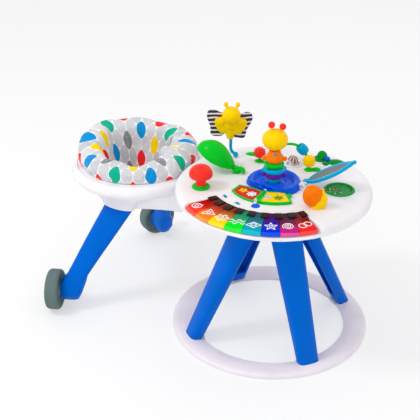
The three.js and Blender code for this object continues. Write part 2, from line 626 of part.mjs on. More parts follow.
function seatLegBody(side) {
  const top = seat.skirtBottom - gap;
  const { topX, topY, ankleX, ankleY, footX, footY } = seatLeg;
  const between = (share) => ({
    x: mix(topX, ankleX, share), y: mix(topY, ankleY, share), z: mix(top, seatLeg.ankleHeight, share),
    halfLength: mix(seatLeg.topHalfLength, seatLeg.ankleHalfLength, share),
    halfWidth: mix(seatLeg.topHalfWidth, seatLeg.ankleHalfWidth, share), turn: seatLeg.turn * share,
  });
  const mid = {
    x: mix(ankleX, footX, 0.6), y: mix(ankleY, footY, 0.6), z: seatLeg.footHeight,
    halfLength: seatLeg.footHalfLength, halfWidth: seatLeg.footHalfWidth, turn: seatLeg.turn,
  };
  const low = {
    ...mid, x: footX, y: footY, z: mix(seatLeg.footBottom, seatLeg.footHeight, 0.4),
    halfLength: mix(seatLeg.footBottomHalf, seatLeg.footHalfLength, 0.85),
  };
  const sole = {
    ...low, z: seatLeg.footBottom, halfLength: seatLeg.footBottomHalf,
    halfWidth: seatLeg.ankleHalfWidth - seat.wall,
  };
  const rows = [between(0), between(0.5), between(1), mid, low, sole].map((section) => {
    const c = Math.cos(section.turn * degrees);
    const s = Math.sin(section.turn * degrees);
    const place = (u, v) => new THREE.Vector3(
      u * c - v * s - section.x, side * (u * s + v * c - section.y), section.z);
    return oval(section.halfLength, section.halfWidth, seatLeg.squareness, 14, place);
  });
  const inner = -wheel.width / 2;
  const clear = cylinder(wheel.radius + 2 * seat.wall, inner - 4 * gap, wheel.width, 24);
  const bore = cylinder(axle.radius + gap, inner - axle.grip - gap, 0, 12);
  return solidOf(skin(rows)).subtract(solidOf(wheelPlaced(clear, side)))
    .subtract(solidOf(wheelPlaced(bore, side)));
}

// Puts a shape made round the Z axis on a wheel axis, its top facing away from the table
function wheelPlaced(geometry, side) {
  const azimuth = Math.atan2(-wheel.y, -wheel.x) / degrees;
  const lying = placed(placed(geometry, { turnY: 90 }), { turnZ: azimuth });
  const moved = placed(lying, { x: -wheel.x, y: -wheel.y, z: wheel.radius });
  return side > 0 ? moved : mirrored(moved);
}

function mirrored(geometry) {
  return geometry.clone().applyMatrix4(new THREE.Matrix4().makeScale(1, -1, 1));
}

function wheelBody(side) {
  const half = wheel.width / 2;
  const tread = wheel.radius - wheel.treadRound;
  const round = (share, sign) => [
    tread + wheel.treadRound * Math.sin(share * Math.PI / 2),
    sign * (half - wheel.treadRound * (1 - Math.cos(share * Math.PI / 2))),
  ];
  const deep = half - wheel.recess;
  const face = (sign) => [
    [wheel.boreRadius, sign * (half - gap)], [wheel.hubFace, sign * (half - gap)],
    [wheel.hubRadius, sign * deep], [tread - wheel.webInset, sign * deep], [tread, sign * half],
  ];
  const profile = [
    ...face(-1), round(0.5, -1), round(1, -1), round(1, 1), round(0.5, 1), ...face(1).reverse(),
  ];
  return solidOf(wheelPlaced(latheRing(profile, 16), side));
}

function axleBody(side) {
  const half = wheel.width / 2;
  const profile = [
    [0, -half - axle.grip], [axle.radius, -half - axle.grip], [axle.radius, half + gap],
    [axle.capRadius, half + gap],
    [axle.capRadius * 0.7, half + gap + axle.capHeight], [0, half + gap + axle.capHeight],
  ];
  return solidOf(wheelPlaced(lathed(profile, 12), side));
}

// Piano

function keyProfile() {
  const crest = table.top + keys.crest;
  const bottom = crest - keys.thickness;
  const bend = keys.outerRadius - keys.edgeRound;
  return [
    [keys.innerRadius, bottom], [keys.outerRadius - keys.lip, bottom],
    [keys.outerRadius - keys.lip, keys.lipBottom], [keys.outerRadius, keys.lipBottom],
    [keys.outerRadius, crest - keys.edgeFall],
    [mix(bend, keys.outerRadius, 0.75), crest - keys.edgeFall * 0.45],
    [bend, crest - keys.edgeFall * 0.08], [bend - keys.edgeRound, crest], [keys.innerRadius, crest],
  ];
}

function keyEdges(index) {
  const pitch = (keys.end - keys.start) / keys.count;
  return [keys.start + index * pitch, keys.start + (index + 1) * pitch];
}

function pianoKey(index) {
  const [from, to] = keyEdges(index);
  const side = keys.sideGap / 2 / keys.innerRadius / degrees;
  const whole = solidOf(latheRing(keyProfile(), keyFacets));
  const far = keys.outerRadius + overrun * 4;
  const shape = sectorShape(keys.innerRadius / 2, far, from + side, to - side);
  const slice = solidOf(plate(shape, keys.pocketFloor, table.top + keys.thickness, 2));
  return whole.intersect(slice).subtract(fingers(gap * 2));
}

function fingers(clearance) {
  let all;
  const bottom = keys.pocketFloor + gap - clearance;
  for (let i = 0; i <= keys.count; i += 1) {
    const azimuth = keys.start + (i * (keys.end - keys.start)) / keys.count;
    const spread = i === 0 || i === keys.count ? bezel.fingerHalfAngle / 2 : bezel.fingerHalfAngle;
    const extra = clearance / keys.innerRadius / degrees;
    const outer = bezel.fingerRadius + clearance;
    const inner = keys.innerRadius - bezel.depth - clearance;
    const shape = sectorShape(inner, outer, azimuth - spread - extra, azimuth + spread + extra);
    const finger = solidOf(plate(shape, bottom, table.top + bezel.rise + clearance, 1));
    all = all ? all.add(finger) : finger;
  }
  return all;
}

function keyBezel() {
  const from = keys.start - bezel.side;
  const band = sectorShape(bezel.innerRadius, keys.innerRadius - gap * 2, from, keys.end + bezel.side);
  const strip = solidOf(plate(band, keys.pocketFloor + gap, table.top + keys.crest, 12));
  return strip.add(fingers(0));
}

// Middle dish and turning stack

function centreDish() {
  const base = table.top + gap;
  const top = base + dish.height;
  const floor = table.top + dish.floorRise;
  const profile = [
    [0, base], [dish.radius, base], [dish.radius, base + dish.flange],
    [dish.rimRadius, mix(base, top, 0.72)], [dish.rimRadius - dish.flange, top],
    [dish.bowlRadius, top - dish.flange / 2], [dish.bowlRadius - dish.bowlDepth, floor], [0, floor],
  ];
  const { notchRadius, notchStart, notchEnd, notchFlare } = dish;
  const far = dish.radius / Math.cos(notchFlare * 2 * degrees);
  const notch = outline([
    ...arcPoints(notchRadius, notchStart, notchEnd), onCircle(dish.radius + overrun, notchEnd + notchFlare),
    ...arcPoints(far, notchEnd, notchStart), onCircle(dish.radius + overrun, notchStart - notchFlare),
  ]);
  const cut = solidOf(plate(notch, base - overrun, top + overrun));
  const socket = solidOf(cylinder(stack.postRadius + gap, base + dish.flange, top, stack.postFlats));
  return solidOf(lathed(profile, 32)).subtract(cut).subtract(socket);
}

const stackBase = table.top + stack.lift;

const levels = (() => {
  const purple = stackBase;
  const cyan = purple + stack.purpleHeight + stack.running;
  const green = cyan + stack.cyanHeight + stack.running;
  const orange = green + stack.greenHeight + stack.running;
  const head = orange + stack.orangeHeight + stack.running;
  return { purple, cyan, green, orange, head };
})();

function stackPost() {
  const base = table.top + gap + dish.flange + gap;
  const tip = levels.head + stack.headHeight * stack.socket_share;
  const foot = cylinder(stack.footRadius, table.top + dish.floorRise + gap, stackBase - stack.running, 18);
  return solidOf(cylinder(stack.postRadius, base, tip, stack.postFlats)).add(solidOf(foot));
}

function postBore(bottom, top) {
  return solidOf(cylinder(stack.postRadius + stack.running, bottom - overrun, top, 12));
}

// A rounded ring on the post, with a pair of round knobs at its sides
function stackRing(bottom, radius, height, knobTurn) {
  const bulge = [0.08, 0.36, 0.64, 0.92].map((share) => {
    const angle = (share - 0.5) * Math.PI;
    return [radius * (0.72 + 0.28 * Math.cos(angle)), bottom + (height / 2) * (1 + Math.sin(angle))];
  });
  const middle = bottom + height / 2;
  let body = solidOf(lathed([[0, bottom], ...bulge, [0, bottom + height]], 18));
  for (const side of [-1, 1]) {
    const knob = placed(ballShape(stack.knobRadius, 8, 5), { x: side * stack.knobReach, z: middle });
    const bar = cylinder(stack.knobRadius * 0.7, 0, stack.knobReach, 5);
    const neck = placed(bar, { turnY: side * 90, z: middle });
    body = body.add(solidOf(placed(knob, { turnZ: knobTurn })));
    body = body.add(solidOf(placed(neck, { turnZ: knobTurn })));
  }
  return body.subtract(postBore(bottom, bottom + height + overrun));
}

function stackHead() {
  const bottom = levels.head;
  const centre = bottom + stack.headHeight / 2;
  const globe = ballShape(stack.headRadius, 14, 9);
  globe.rotateX(Math.PI / 2);
  globe.scale(1, 1, stack.headHeight / 2 / stack.headRadius);
  let head = solidOf(placed(globe, { z: centre }));
  const rise = bottom + stack.headHeight + stack.antennaRise;
  const drop = stack.antennaSpread * Math.tan(stack.antennaTilt * degrees);
  for (const side of [-1, 1]) {
    const x = side * stack.antennaSpread + stack.antennaShift;
    const tip = rise - side * drop;
    const knob = placed(ballShape(stack.antennaRadius, 8, 5), { x, z: tip });
    const stem = placed(cylinder(stack.antennaStem, centre, tip, 6), { x });
    head = head.add(solidOf(placed(knob, { turnZ: viewTurn })));
    head = head.add(solidOf(placed(stem, { turnZ: viewTurn })));
  }
  const socketTop = bottom + stack.headHeight * stack.socket_share + 2 * stack.running;
  return head.subtract(postBore(bottom, socketTop));
}

// Toys round the table

function bugStalk() {
  const { lean, baseRadius } = bug;
  const foot = table.top + gap + baseRadius;
  const bend = table.top + bug.bendLift;
  const points = [
    new THREE.Vector3(0, 0, foot), new THREE.Vector3(-lean * 0.45, 0, mix(foot, bend, 0.5)),
    new THREE.Vector3(-lean, 0, bend + baseRadius),
    new THREE.Vector3(-lean, 0, table.top + bug.bodyLift + baseRadius),
  ];
  const stalk = solidOf(placed(tube(points, bug.stalkRadius, 8), { turnZ: viewTurn }));
  return stalk.add(solidOf(placed(ballShape(baseRadius, 12, 8), { z: foot })));
}

function mirroredOutline(half) {
  const other = half.map(([x, y]) => [-x, y]).reverse();
  return outline([...half, ...other]);
}

// Body seen from the front: two shoulders, a narrow tail and a round head with two stalks
function bugBody() {
  const { shoulderHalfWidth, bodyHalfWidth, bodyDepth } = bug;
  const low = table.top + bug.bodyLift;
  const up = (share) => low + bug.bodyTall * share;
  const half = [
    [bodyHalfWidth * 0.55, low], [bodyHalfWidth * 1.3, up(0.2)], [shoulderHalfWidth * 0.75, up(0.42)],
    [shoulderHalfWidth * 0.95, up(0.62)], [shoulderHalfWidth, up(0.85)],
    [shoulderHalfWidth * 0.8, up(1)], [bodyHalfWidth, up(1)],
  ];
  const headZ = low + bug.headRise;
  const trunk = plate(mirroredOutline(half), -bodyDepth / 2, bodyDepth / 2);
  let body = solidOf(placed(trunk, { turnX: 90 }));
  body = body.add(solidOf(placed(ballShape(bug.headRadius, 12, 8), { z: headZ })));
  for (const side of [-1, 1]) {
    const x = side * bug.antennaSpread;
    const tip = headZ + bug.antennaRise;
    body = body.add(solidOf(placed(ballShape(bug.antennaRadius, 8, 5), { x, z: tip })));
    body = body.add(solidOf(placed(cylinder(bug.antennaStem, headZ, tip, 6), { x })));
  }
  const socketTop = low + bug.baseRadius + 2 * gap;
  const socket = cylinder(bug.stalkRadius + bug.running, low - overrun, socketTop, 10);
  return solidOf(placed(geometryOf(body.subtract(solidOf(socket))), { turnZ: viewTurn }));
}

// Crinkle wings behind the body, one sheet through both sides
function bugWings() {
  const { wingReach, bodyHalfWidth } = bug;
  const middle = bug.bodyLift + bug.headRise;
  const low = bug.bodyLift + bug.wingRise - middle;
  const up = (share) => low + bug.wingTall * share;
  const out = (share) => mix(bodyHalfWidth, wingReach, share);
  const half = [
    [bodyHalfWidth * 0.5, up(0.3)], [bodyHalfWidth * 0.8, low], [out(0.5), low], [out(0.78), up(0.25)],
    [out(0.92), up(0.5)], [wingReach, up(0.82)], [out(0.86), up(1)], [out(0.3), up(0.9)],
    [bodyHalfWidth, up(0.8)],
  ];
  const back = bug.bodyDepth / 2 + gap;
  const sheet = plate(mirroredOutline(half), -back - bug.wingThickness, -back);
  const tilted = placed(placed(sheet, { turnZ: -bug.wingTilt }), { turnX: 90 });
  const cut = solidOf(tilted).subtract(solidOf(ballShape(bug.headRadius + 2 * gap, 12, 8)));
  return solidOf(placed(geometryOf(cut), { z: table.top + middle, turnZ: viewTurn }));
}

function mushroomCollar() {
  const base = table.top + gap;
  const { collarRadius, collarHeight, stemRadius, running } = mushroom;
  const floor = base + collarHeight * 0.1;
  const bore = stemRadius + running;
  return solidOf(lathed([
    [0, base], [collarRadius, base], [collarRadius, base + collarHeight * 0.4],
    [collarRadius * 0.8, base + collarHeight * 0.85], [bore, base + collarHeight],
    [bore, floor], [0, floor],
  ], 18));
}

function mushroomBody() {
  const { stemRadius, capRadius, capLift, capTall, travel, collarHeight } = mushroom;
  const base = table.top + 2 * gap + collarHeight * 0.1 + travel;
  const up = (share) => table.top + capLift + capTall * share;
  const dome = [0, 0.25, 0.5, 0.75].map((share) => [
    capRadius * Math.cos(share * Math.PI / 2),
    mix(up(mushroom.widest_share), up(1), Math.sin(share * Math.PI / 2)),
  ]);
  return solidOf(lathed([
    [0, base], [stemRadius, base], [stemRadius, table.top + collarHeight], [stemRadius * 0.8, up(0)],
    [capRadius * 0.72, up(0.02)], [capRadius * 0.94, up(0.14)], ...dome, [0, up(1)],
  ], 18));
}

// A leaf-shaped dome: rows run from the hinge to the tip, with rim points at the height zero
function leafDome(length, halfWidth, rise, rows, columns) {
  const lines = Array.from({ length: rows }, (_, i) => {
    const share = i / (rows - 1);
    const wide = Math.sin(Math.PI * (0.06 + 0.9 * share)) ** 0.7;
    return Array.from({ length: columns }, (__, j) => {
      const angle = (Math.PI * j) / (columns - 1);
      const y = halfWidth * wide * Math.cos(angle);
      return new THREE.Vector3(length * share, y, rise * wide * mix(0.85, 1.6, share) * Math.sin(angle));
    });
  });
  return skin(lines);
}

function leafLid() {
  const { barrelRadius, barrelHalf, wall, earThickness } = leaf;
  const inLength = leaf.length - barrelRadius - 3 * wall;
  const dome = leafDome(leaf.length - barrelRadius, leaf.halfWidth, leaf.dome, 7, 8);
  const inner = leafDome(inLength, leaf.halfWidth - wall, leaf.dome - wall, 6, 7);
  const hollow = solidOf(placed(inner, { x: barrelRadius + 1.5 * wall, z: -gap }));
  const barrel = solidOf(placed(cylinder(barrelRadius, -barrelHalf, barrelHalf, 12), { turnX: 90 }));
  const bridge = placed(block(barrelRadius, barrelHalf, -wall / 2, barrelRadius), { x: barrelRadius });
  const reach = barrelHalf + earThickness;
  const pin = solidOf(placed(cylinder(leaf.pinRadius, -reach, reach, 10), { turnX: 90 }));
  const cup = solidOf(placed(dome, { x: barrelRadius })).subtract(hollow).add(barrel)
    .add(solidOf(bridge)).add(pin);
  const opened = placed(geometryOf(cup), { turnY: -leaf.open });
  const pivot = { x: leaf.x, y: leaf.y, z: table.top + leaf.pivotLift };
  return solidOf(placed(opened, { ...pivot, turnZ: leaf.azimuth }));
}

// Curled stem on the table that carries the leaf's hinge ears
function leafStem() {
  const base = table.top + gap;
  const low = base + leaf.stemRadius;
  const reach = leaf.stemReach;
  const start = leaf.barrelRadius + leaf.earThickness;
  const toMiddle = { x: leaf.x, y: leaf.y, turnZ: leaf.azimuth + 180 };
  const points = [
    new THREE.Vector3(start, 0, low), new THREE.Vector3(start + reach * 0.4, reach * 0.1, low),
    new THREE.Vector3(start + reach * 0.75, -reach * 0.1, low),
    new THREE.Vector3(start + reach * 0.8, -reach * 0.6, low),
  ];
  const curl = solidOf(placed(tube(points, leaf.stemRadius, 7), toMiddle));
  const padWidth = leaf.barrelHalf + leaf.earThickness + gap;
  const pad = placed(block(start, padWidth, base, base + overrun), { x: leaf.earThickness / 2 });
  const pivot = table.top + leaf.pivotLift;
  const holders = ears(leaf, leaf.barrelHalf, leaf.earThickness, pivot, base, leaf.pinRadius);
  return solidOf(placed(pad, toMiddle)).add(curl).add(solidOf(holders));
}

function lidOutline(inset) {
  const shape = new THREE.Shape();
  const start = lid.barrelRadius + inset;
  const end = lid.length - inset * 1.6;
  const wide = lid.halfWidth - inset;
  const middle = lid.length * 0.52;
  shape.moveTo(start, 0);
  shape.bezierCurveTo(start + wide * 0.15, -wide * 0.75, middle * 0.6, -wide, middle, -wide);
  shape.bezierCurveTo(middle * 1.45, -wide, end - wide * 0.25, -wide * 0.3, end, 0);
  shape.bezierCurveTo(end - wide * 0.25, wide * 0.3, middle * 1.45, wide, middle, wide);
  shape.bezierCurveTo(middle * 0.6, wide, start + wide * 0.15, wide * 0.75, start, 0);
  return shape;
}

function onLid(solid) {
  const opened = placed(geometryOf(solid), { turnY: -lid.open });
  return solidOf(placed(opened, { x: lid.x, y: lid.y, z: table.top + lid.pivotLift, turnZ: lid.azimuth }));
}

function mirrorLid() {
  const half = lid.thickness / 2;
  const { barrelRadius, barrelHalf } = lid;
  const frame = solidOf(plate(lidOutline(0), -half, half, 5));
  const pocket = solidOf(plate(lidOutline(lid.border), half - lid.mirrorDepth - gap, half + overrun, 5));
  const barrel = solidOf(placed(cylinder(barrelRadius, -barrelHalf, barrelHalf, 12), { turnX: 90 }));
  const bar = block(barrelRadius, barrelHalf * 0.8, -half, half);
  const neck = solidOf(placed(bar, { x: barrelRadius * 1.2 }));
  const reach = barrelHalf + lid.postThickness;
  const pin = solidOf(placed(cylinder(lid.pinRadius, -reach, reach, 10), { turnX: 90 }));
  const knob = solidOf(placed(ballShape(lid.knobRadius, 8, 6), { x: lid.length }));
  return onLid(frame.subtract(pocket).add(barrel).add(neck).add(pin).add(knob));
}

function lidMirror() {
  const half = lid.thickness / 2;
  return onLid(solidOf(plate(lidOutline(lid.border + gap), half - lid.mirrorDepth, half - gap, 5)));
}

function pondOval(grow, bottom, top) {
  const points = oval(pond.halfLength + grow, pond.halfWidth + grow, 2, pond.corners, (x, y) => [x, y]);
  const body = plate(outline(points), bottom, top);
  return solidOf(placed(body, { x: pond.x, y: pond.y, turnZ: pond.azimuth }));
}

// Oval basin sunk in the table, with a lip that lies on it
function pondFrame() {
  const bottom = table.top - pond.depth;
  const body = pondOval(0, bottom, table.top + pond.rise);
  return body.subtract(pondOval(-pond.border, bottom + pond.floor, table.top + pond.rise + overrun));
}

function pondWindow() {
  const halfX = pond.halfLength - pond.border - gap;
  const halfY = pond.halfWidth - pond.border - gap;
  const row = (shrink, z) => (
    oval(halfX * shrink, halfY * shrink, 2, pond.corners, (x, y) => new THREE.Vector3(x, y, z)));
  const steep = 1.25;
  const rise = pond.windowRise + pond.windowLow;
  const rows = [0, 0.33, 0.67, 1].map((share) => (
    row(Math.cos(share * steep), table.top + rise * Math.sin(share * steep))));
  const floor = row(1, table.top - pond.windowLow);
  return solidOf(placed(skin([floor, ...rows]), { x: pond.x, y: pond.y, turnZ: pond.azimuth }));
}

// Spiral shell over a low body with a raised head, on a round stand
function snailBody() {
  const { shellRadius, shellHalf, bodyHalf, bodyLength, headRadius, knobRadius } = snail;
  const base = table.top + gap;
  const low = base + snail.standHeight;
  let body = solidOf(cylinder(snail.standRadius, base, low, 16));
  const centre = low + snail.shellLift + shellRadius * 0.75;
  for (const [share, half] of [[1, 0.72], [0.72, 0.9], [0.44, 1.05]]) {
    const whorl = cylinder(shellRadius * share, -shellHalf * half, shellHalf * half, 12);
    const x = -shellRadius * (1 - share) * 0.2;
    body = body.add(solidOf(placed(whorl, { turnX: 90, x, z: centre })));
  }
  const long = ballShape(bodyHalf, 8, 5).scale(bodyLength / bodyHalf / 2, 1, 0.9);
  const headX = bodyLength * 0.55;
  const headZ = low + snail.shellLift + headRadius;
  const neck = placed(cylinder(headRadius * 0.7, low + bodyHalf * 0.5, headZ, 7), { x: headX });
  body = body.add(solidOf(placed(long, { z: low + bodyHalf * 0.55 }))).add(solidOf(neck));
  body = body.add(solidOf(placed(ballShape(headRadius, 8, 6), { x: headX, z: headZ })));
  for (const side of [-1, 1]) {
    const y = side * headRadius * 0.5;
    const tip = headZ + headRadius * 1.5;
    body = body.add(solidOf(placed(ballShape(knobRadius, 6, 4), { x: headX, y, z: tip })));
    body = body.add(solidOf(placed(cylinder(knobRadius * 0.45, headZ, tip, 5), { x: headX, y })));
  }
  const level = solidOf(block(bodyLength * 2, bodyLength, base, centre + shellRadius * 2));
  return solidOf(placed(geometryOf(body.intersect(level)), { x: snail.x, y: snail.y, turnZ: viewTurn }));
}

// Book of two leaves over the piano: a fixed tray and one page that turns on the spine
function spineSide(side, clearance) {
  const far = book.outerRadius + overrun;
  const off = side * clearance;
  const edge = [[0, off], [far, off], [far, side * far], [0, side * far]];
  const half = plate(outline(edge), table.top - overrun, table.top + leg.wall * 20);
  return placed(half, { turnZ: book.spine });
}

function pageOutline(inset, inner) {
  const { innerRadius, outerRadius, leftInner, leftCorner, leftCornerReach, leftOuter } = book;
  const turn = inset === 0 ? 0 : book.borderAngle;
  const low = Math.max(inner, innerRadius) + inset;
  const high = outerRadius - inset;
  const left = [
    ...arcPoints(low, book.spine - turn * 1.6, leftInner + turn),
    onCircle(leftCornerReach - inset / 2, leftCorner + turn),
    ...arcPoints(high, leftOuter + turn / 2, book.spine - turn * 1.6),
  ];
  const right = [
    ...arcPoints(low, book.spine + turn * 2, book.rightInner - turn * 1.4),
    ...arcPoints(high, book.rightOuter - turn * 0.7, book.spine + turn * 2),
  ];
  return { left: outline(left), right: outline(right) };
}

function onCircle(radius, azimuth) {
  return [radius * Math.cos(azimuth * degrees), radius * Math.sin(azimuth * degrees)];
}

function arcPoints(radius, from, to) {
  return [0, 0.2, 0.4, 0.6, 0.8, 1].map((share) => onCircle(radius, mix(from, to, share)));
}

function bookFrame() {
  const { innerRadius, outerRadius, border, spine, postLength } = book;
  const low = table.top + gap;
  const high = table.top + book.base;
  const whole = pageOutline(0, innerRadius);
  const panel = pageOutline(border, innerRadius).left;
  const half = (outerRadius - innerRadius) / 2;
  const wide = book.barrelRadius + gap;
  const trough = block(half + overrun, wide + gap, high - book.base / 2, high + overrun);
  const slot = block(postLength / 2 + overrun / 2, wide, table.top, high + overrun);
  let frame = solidOf(plate(whole.left, low, high)).add(solidOf(plate(whole.right, low, high)));
  frame = frame.subtract(solidOf(plate(panel, high - book.pagePocket, high + overrun)));
  frame = frame.subtract(solidOf(onRadius(trough, { reach: innerRadius + half, azimuth: spine })));
  for (const reach of [innerRadius + postLength / 2, outerRadius - postLength / 2]) {
    frame = frame.subtract(solidOf(onRadius(slot, { reach, azimuth: spine })));
  }
  return frame;
}

function bookPage() {
  const { pageInner, outerRadius, border, barrelRadius } = book;
  const low = table.top + book.base + gap;
  const high = low + book.pageThickness;
  const sheet = pageOutline(0, pageInner).right;
  let page = solidOf(plate(sheet, low, high)).intersect(solidOf(spineSide(1, barrelRadius * 0.6)));
  const inside = pageOutline(border, pageInner).right;
  page = page.subtract(solidOf(plate(inside, high - book.pagePocket, high + overrun)));
  const tab = cylinder(book.tabRadius, low, high, 12);
  page = page.add(solidOf(onRadius(tab, { reach: book.tabReach, azimuth: book.tabAzimuth })));
  const from = book.innerRadius + book.postLength + 2 * gap;
  const to = outerRadius - book.postLength - 2 * gap;
  const clear = barrelRadius + overrun;
  page = page.subtract(solidOf(spineRod(clear, book.innerRadius - overrun, from)));
  page = page.subtract(solidOf(spineRod(clear, to, outerRadius + overrun)));
  page = page.add(solidOf(spineRod(barrelRadius, from, to)));
  return page.add(solidOf(spineRod(book.pinRadius, book.innerRadius + gap, outerRadius - gap)));
}

function roundButton() {
  const { button, buttonRadius, buttonRise, buttonSink } = controls;
  const top = table.top + buttonRise;
  const shape = lathed([
    [0, table.top - buttonSink], [buttonRadius, table.top - buttonSink],
    [buttonRadius, mix(table.top, top, 0.3)], [buttonRadius * 0.8, mix(table.top, top, 0.9)], [0, top],
  ], 18);
  return solidOf(onRadius(shape, button));
}

function slideSwitch(index) {
  const { slideLength, slideHalfWidth, slideRise, slideSink } = controls;
  const points = oval(slideHalfWidth, slideLength / 2, 2, 12, (x, y) => [x, y]);
  const knob = plate(outline(points), table.top - slideSink, table.top + slideRise);
  return solidOf(onRadius(knob, controls.slides[index]));
}

// A ball with rows of blunt bumps
function bumpyBall({ x, y, radius }) {
  const geometry = new THREE.SphereGeometry(radius, ball.bumps, ball.bumpRows);
  const points = geometry.attributes.position;
  const p = new THREE.Vector3();
  for (let i = 0; i < points.count; i += 1) {
    p.fromBufferAttribute(points, i);
    const turn = Math.round((Math.atan2(p.z, p.x) / (2 * Math.PI)) * ball.bumps);
    const row = Math.round((Math.acos(p.y / radius) / Math.PI) * ball.bumpRows);
    const pole = row === 0 || row === ball.bumpRows;
    if (!pole && (turn + row) % 2 === 0) p.multiplyScalar(1 + ball.spikeRise / radius);
    points.setXYZ(i, p.x, p.y, p.z);
  }
  geometry.rotateX(Math.PI / 2);
  const centre = table.top + ball.lift;
  const globe = solidOf(placed(geometry, { z: centre }));
  const bore = cylinder(ball.stemRadius + gap, centre - 2 * radius, centre, 10);
  return shifted(globe.subtract(solidOf(bore)), x, y);
}

function ballBase({ x, y, leafTurn, leafRaise, leafLength }) {
  const low = table.top + gap;
  const { baseRadius, baseHeight, stemRadius } = ball;
  const tip = table.top + ball.lift - gap;
  const cone = lathed([
    [0, low], [baseRadius, low], [baseRadius * 0.9, low + baseHeight * 0.4], [stemRadius, low + baseHeight],
    [stemRadius, tip], [0, tip],
  ], 10);
  const blade = leafDome(leafLength, ball.leafHalf, baseHeight * 0.8, 5, 5);
  const raised = placed(blade, { turnY: -leafRaise, z: low });
  return shifted(solidOf(cone).add(solidOf(placed(raised, { turnZ: leafTurn }))), x, y);
}

const archLine = (() => {
  const dx = arch.endX - arch.startX;
  const dy = arch.endY - arch.startY;
  const span = Math.hypot(dx, dy);
  const x = (arch.startX + arch.endX) / 2;
  const y = (arch.startY + arch.endY) / 2;
  return { x, y, half: span / 2, turn: Math.atan2(dy, dx) / degrees };
})();

function archPoint(angle, radius = archLine.half) {
  const low = table.top + gap;
  return new THREE.Vector3(-radius * Math.cos(angle), 0, low + radius * Math.sin(angle));
}

function archBody() {
  const low = table.top + gap;
  const points = Array.from({ length: 9 }, (_, i) => archPoint((Math.PI * i) / 8));
  let body = solidOf(tube(points, arch.tubeRadius, 18));
  for (const side of [-1, 1]) {
    const foot = cylinder(arch.footRadius, low, low + arch.footHeight, 12, arch.footRadius * 0.7);
    body = body.add(solidOf(placed(foot, { x: side * archLine.half })));
  }
  const above = solidOf(block(archLine.half * 2, arch.footRadius * 2, low, low + archLine.half * 2));
  const place = { x: archLine.x, y: archLine.y, turnZ: archLine.turn };
  return solidOf(placed(geometryOf(body.intersect(above)), place));
}

function archBead() {
  const angle = Math.PI * arch.beadAt_share;
  const here = archPoint(angle, archLine.half - arch.beadInset);
  const { beadRadius, beadHalf, beadBore } = arch;
  const rows = 5;
  const bend = Array.from({ length: rows + 1 }, (_, i) => {
    const turn = (i / rows - 0.5) * Math.PI * 0.84;
    return [beadBore + (beadRadius - beadBore) * Math.cos(turn), beadHalf * Math.sin(turn)];
  });
  const end = beadHalf * 0.97;
  const bead = latheRing([[beadBore, -end], ...bend, [beadBore, end]], 14);
  const lying = placed(placed(bead, { turnY: angle / degrees }), { x: here.x, z: here.z });
  return solidOf(placed(lying, { x: archLine.x, y: archLine.y, turnZ: archLine.turn }));
}

function spinnerMirror() {
  const half = spinner.halfThickness;
  const { radius, pinRadius, pivotLift, earThickness } = spinner;
  const lens = lathed([
    [0, -half], [radius * 0.5, -half * 0.86], [radius * 0.87, -half * 0.5], [radius, 0],
    [radius * 0.87, half * 0.5], [radius * 0.5, half * 0.86], [0, half],
  ], 18);
  const reach = radius + overrun + earThickness;
  const pin = placed(cylinder(pinRadius, -reach, reach, 8), { turnX: 90 });
  const collarReach = radius + overrun - gap;
  const collar = placed(cylinder(spinner.collarRadius, -collarReach, collarReach, 8), { turnX: 90 });
  const axle = solidOf(pin).add(solidOf(collar));
  const body = solidOf(placed(lens, { turnY: spinner.turn })).add(axle);
  return solidOf(placed(geometryOf(body), { x: spinner.x, y: spinner.y, z: table.top + pivotLift }));
}

function leafCluster() {
  const low = table.top + gap;
  const { beadRadius, length } = leaves;
  let cluster = solidOf(placed(ballShape(beadRadius, 10, 7), { z: low + beadRadius * 0.5 }));
  for (const step of [0, 1, 2]) {
    const reach = step === 0 ? leaves.longLength : length;
    const blade = leafDome(reach, leaves.halfWidth, leaves.thickness, 6, 5);
    const turnZ = leaves.spread * step - leaves.turn;
    cluster = cluster.add(solidOf(placed(blade, { z: low, turnZ })));
  }
  const wide = leaves.longLength * 2;
  const level = solidOf(block(wide, wide, low, low + beadRadius * 3));
  return shifted(cluster.intersect(level), leaves.x, leaves.y);
}

// Assembly

function shifted(solid, x, y) {
  return solidOf(placed(geometryOf(solid), { x, y }));
}

add('base_ring', baseRing(), 'white');
add('table_leg_front_left', tableLeg(-135), 'blue');
add('table_leg_front_right', tableLeg(-45), 'blue');
add('table_leg_rear_right', tableLeg(45), 'blue');
add('table_leg_rear_left', tableLeg(135), 'blue');
add('leg_hub', legHub(), 'blue');
add('table_pan', tablePan(), 'white');
add('battery_door', batteryDoor(), 'white');
add('tabletop', tabletop(), 'white');
add('swing_arm', swingArm(), 'white', model);
add('seat_shell', seatShell(), 'white', model);
add('swivel_ring', swivelRing(), 'white', model);
add('seat_sling', seatSling(), 'cloth', model);
for (const [place, side] of [['near', 1], ['far', -1]]) {
  add(`seat_leg_${place}`, seatLegBody(side), 'blue', model);
  add(`wheel_${place}`, wheelBody(side), 'grey', model);
  add(`axle_${place}`, axleBody(side), 'steel', model);
}
const keyPaints = ['red', 'orange', 'yellow', 'green', 'cyan', 'deepBlue', 'magenta', 'red'];
keyPaints.forEach((paint, index) => add(`key_${index + 1}`, pianoKey(index), paint));
add('key_bezel', keyBezel(), 'dark');
add('centre_dish', centreDish(), 'deepBlue');
add('stack_post', stackPost(), 'teal');
for (const paint of ['purple', 'cyan', 'green', 'orange']) {
  const sizes = [stack[`${paint}Radius`], stack[`${paint}Height`], stack[`${paint}Turn`]];
  add(`ring_${paint}`, stackRing(levels[paint], ...sizes), paint);
}
add('stack_head', stackHead(), 'yellow');
add('bug_stalk', shifted(bugStalk(), bug.baseX, bug.baseY), 'blue');
const bugX = bug.baseX - bug.lean * Math.cos(viewTurn * degrees);
const bugY = bug.baseY - bug.lean * Math.sin(viewTurn * degrees);
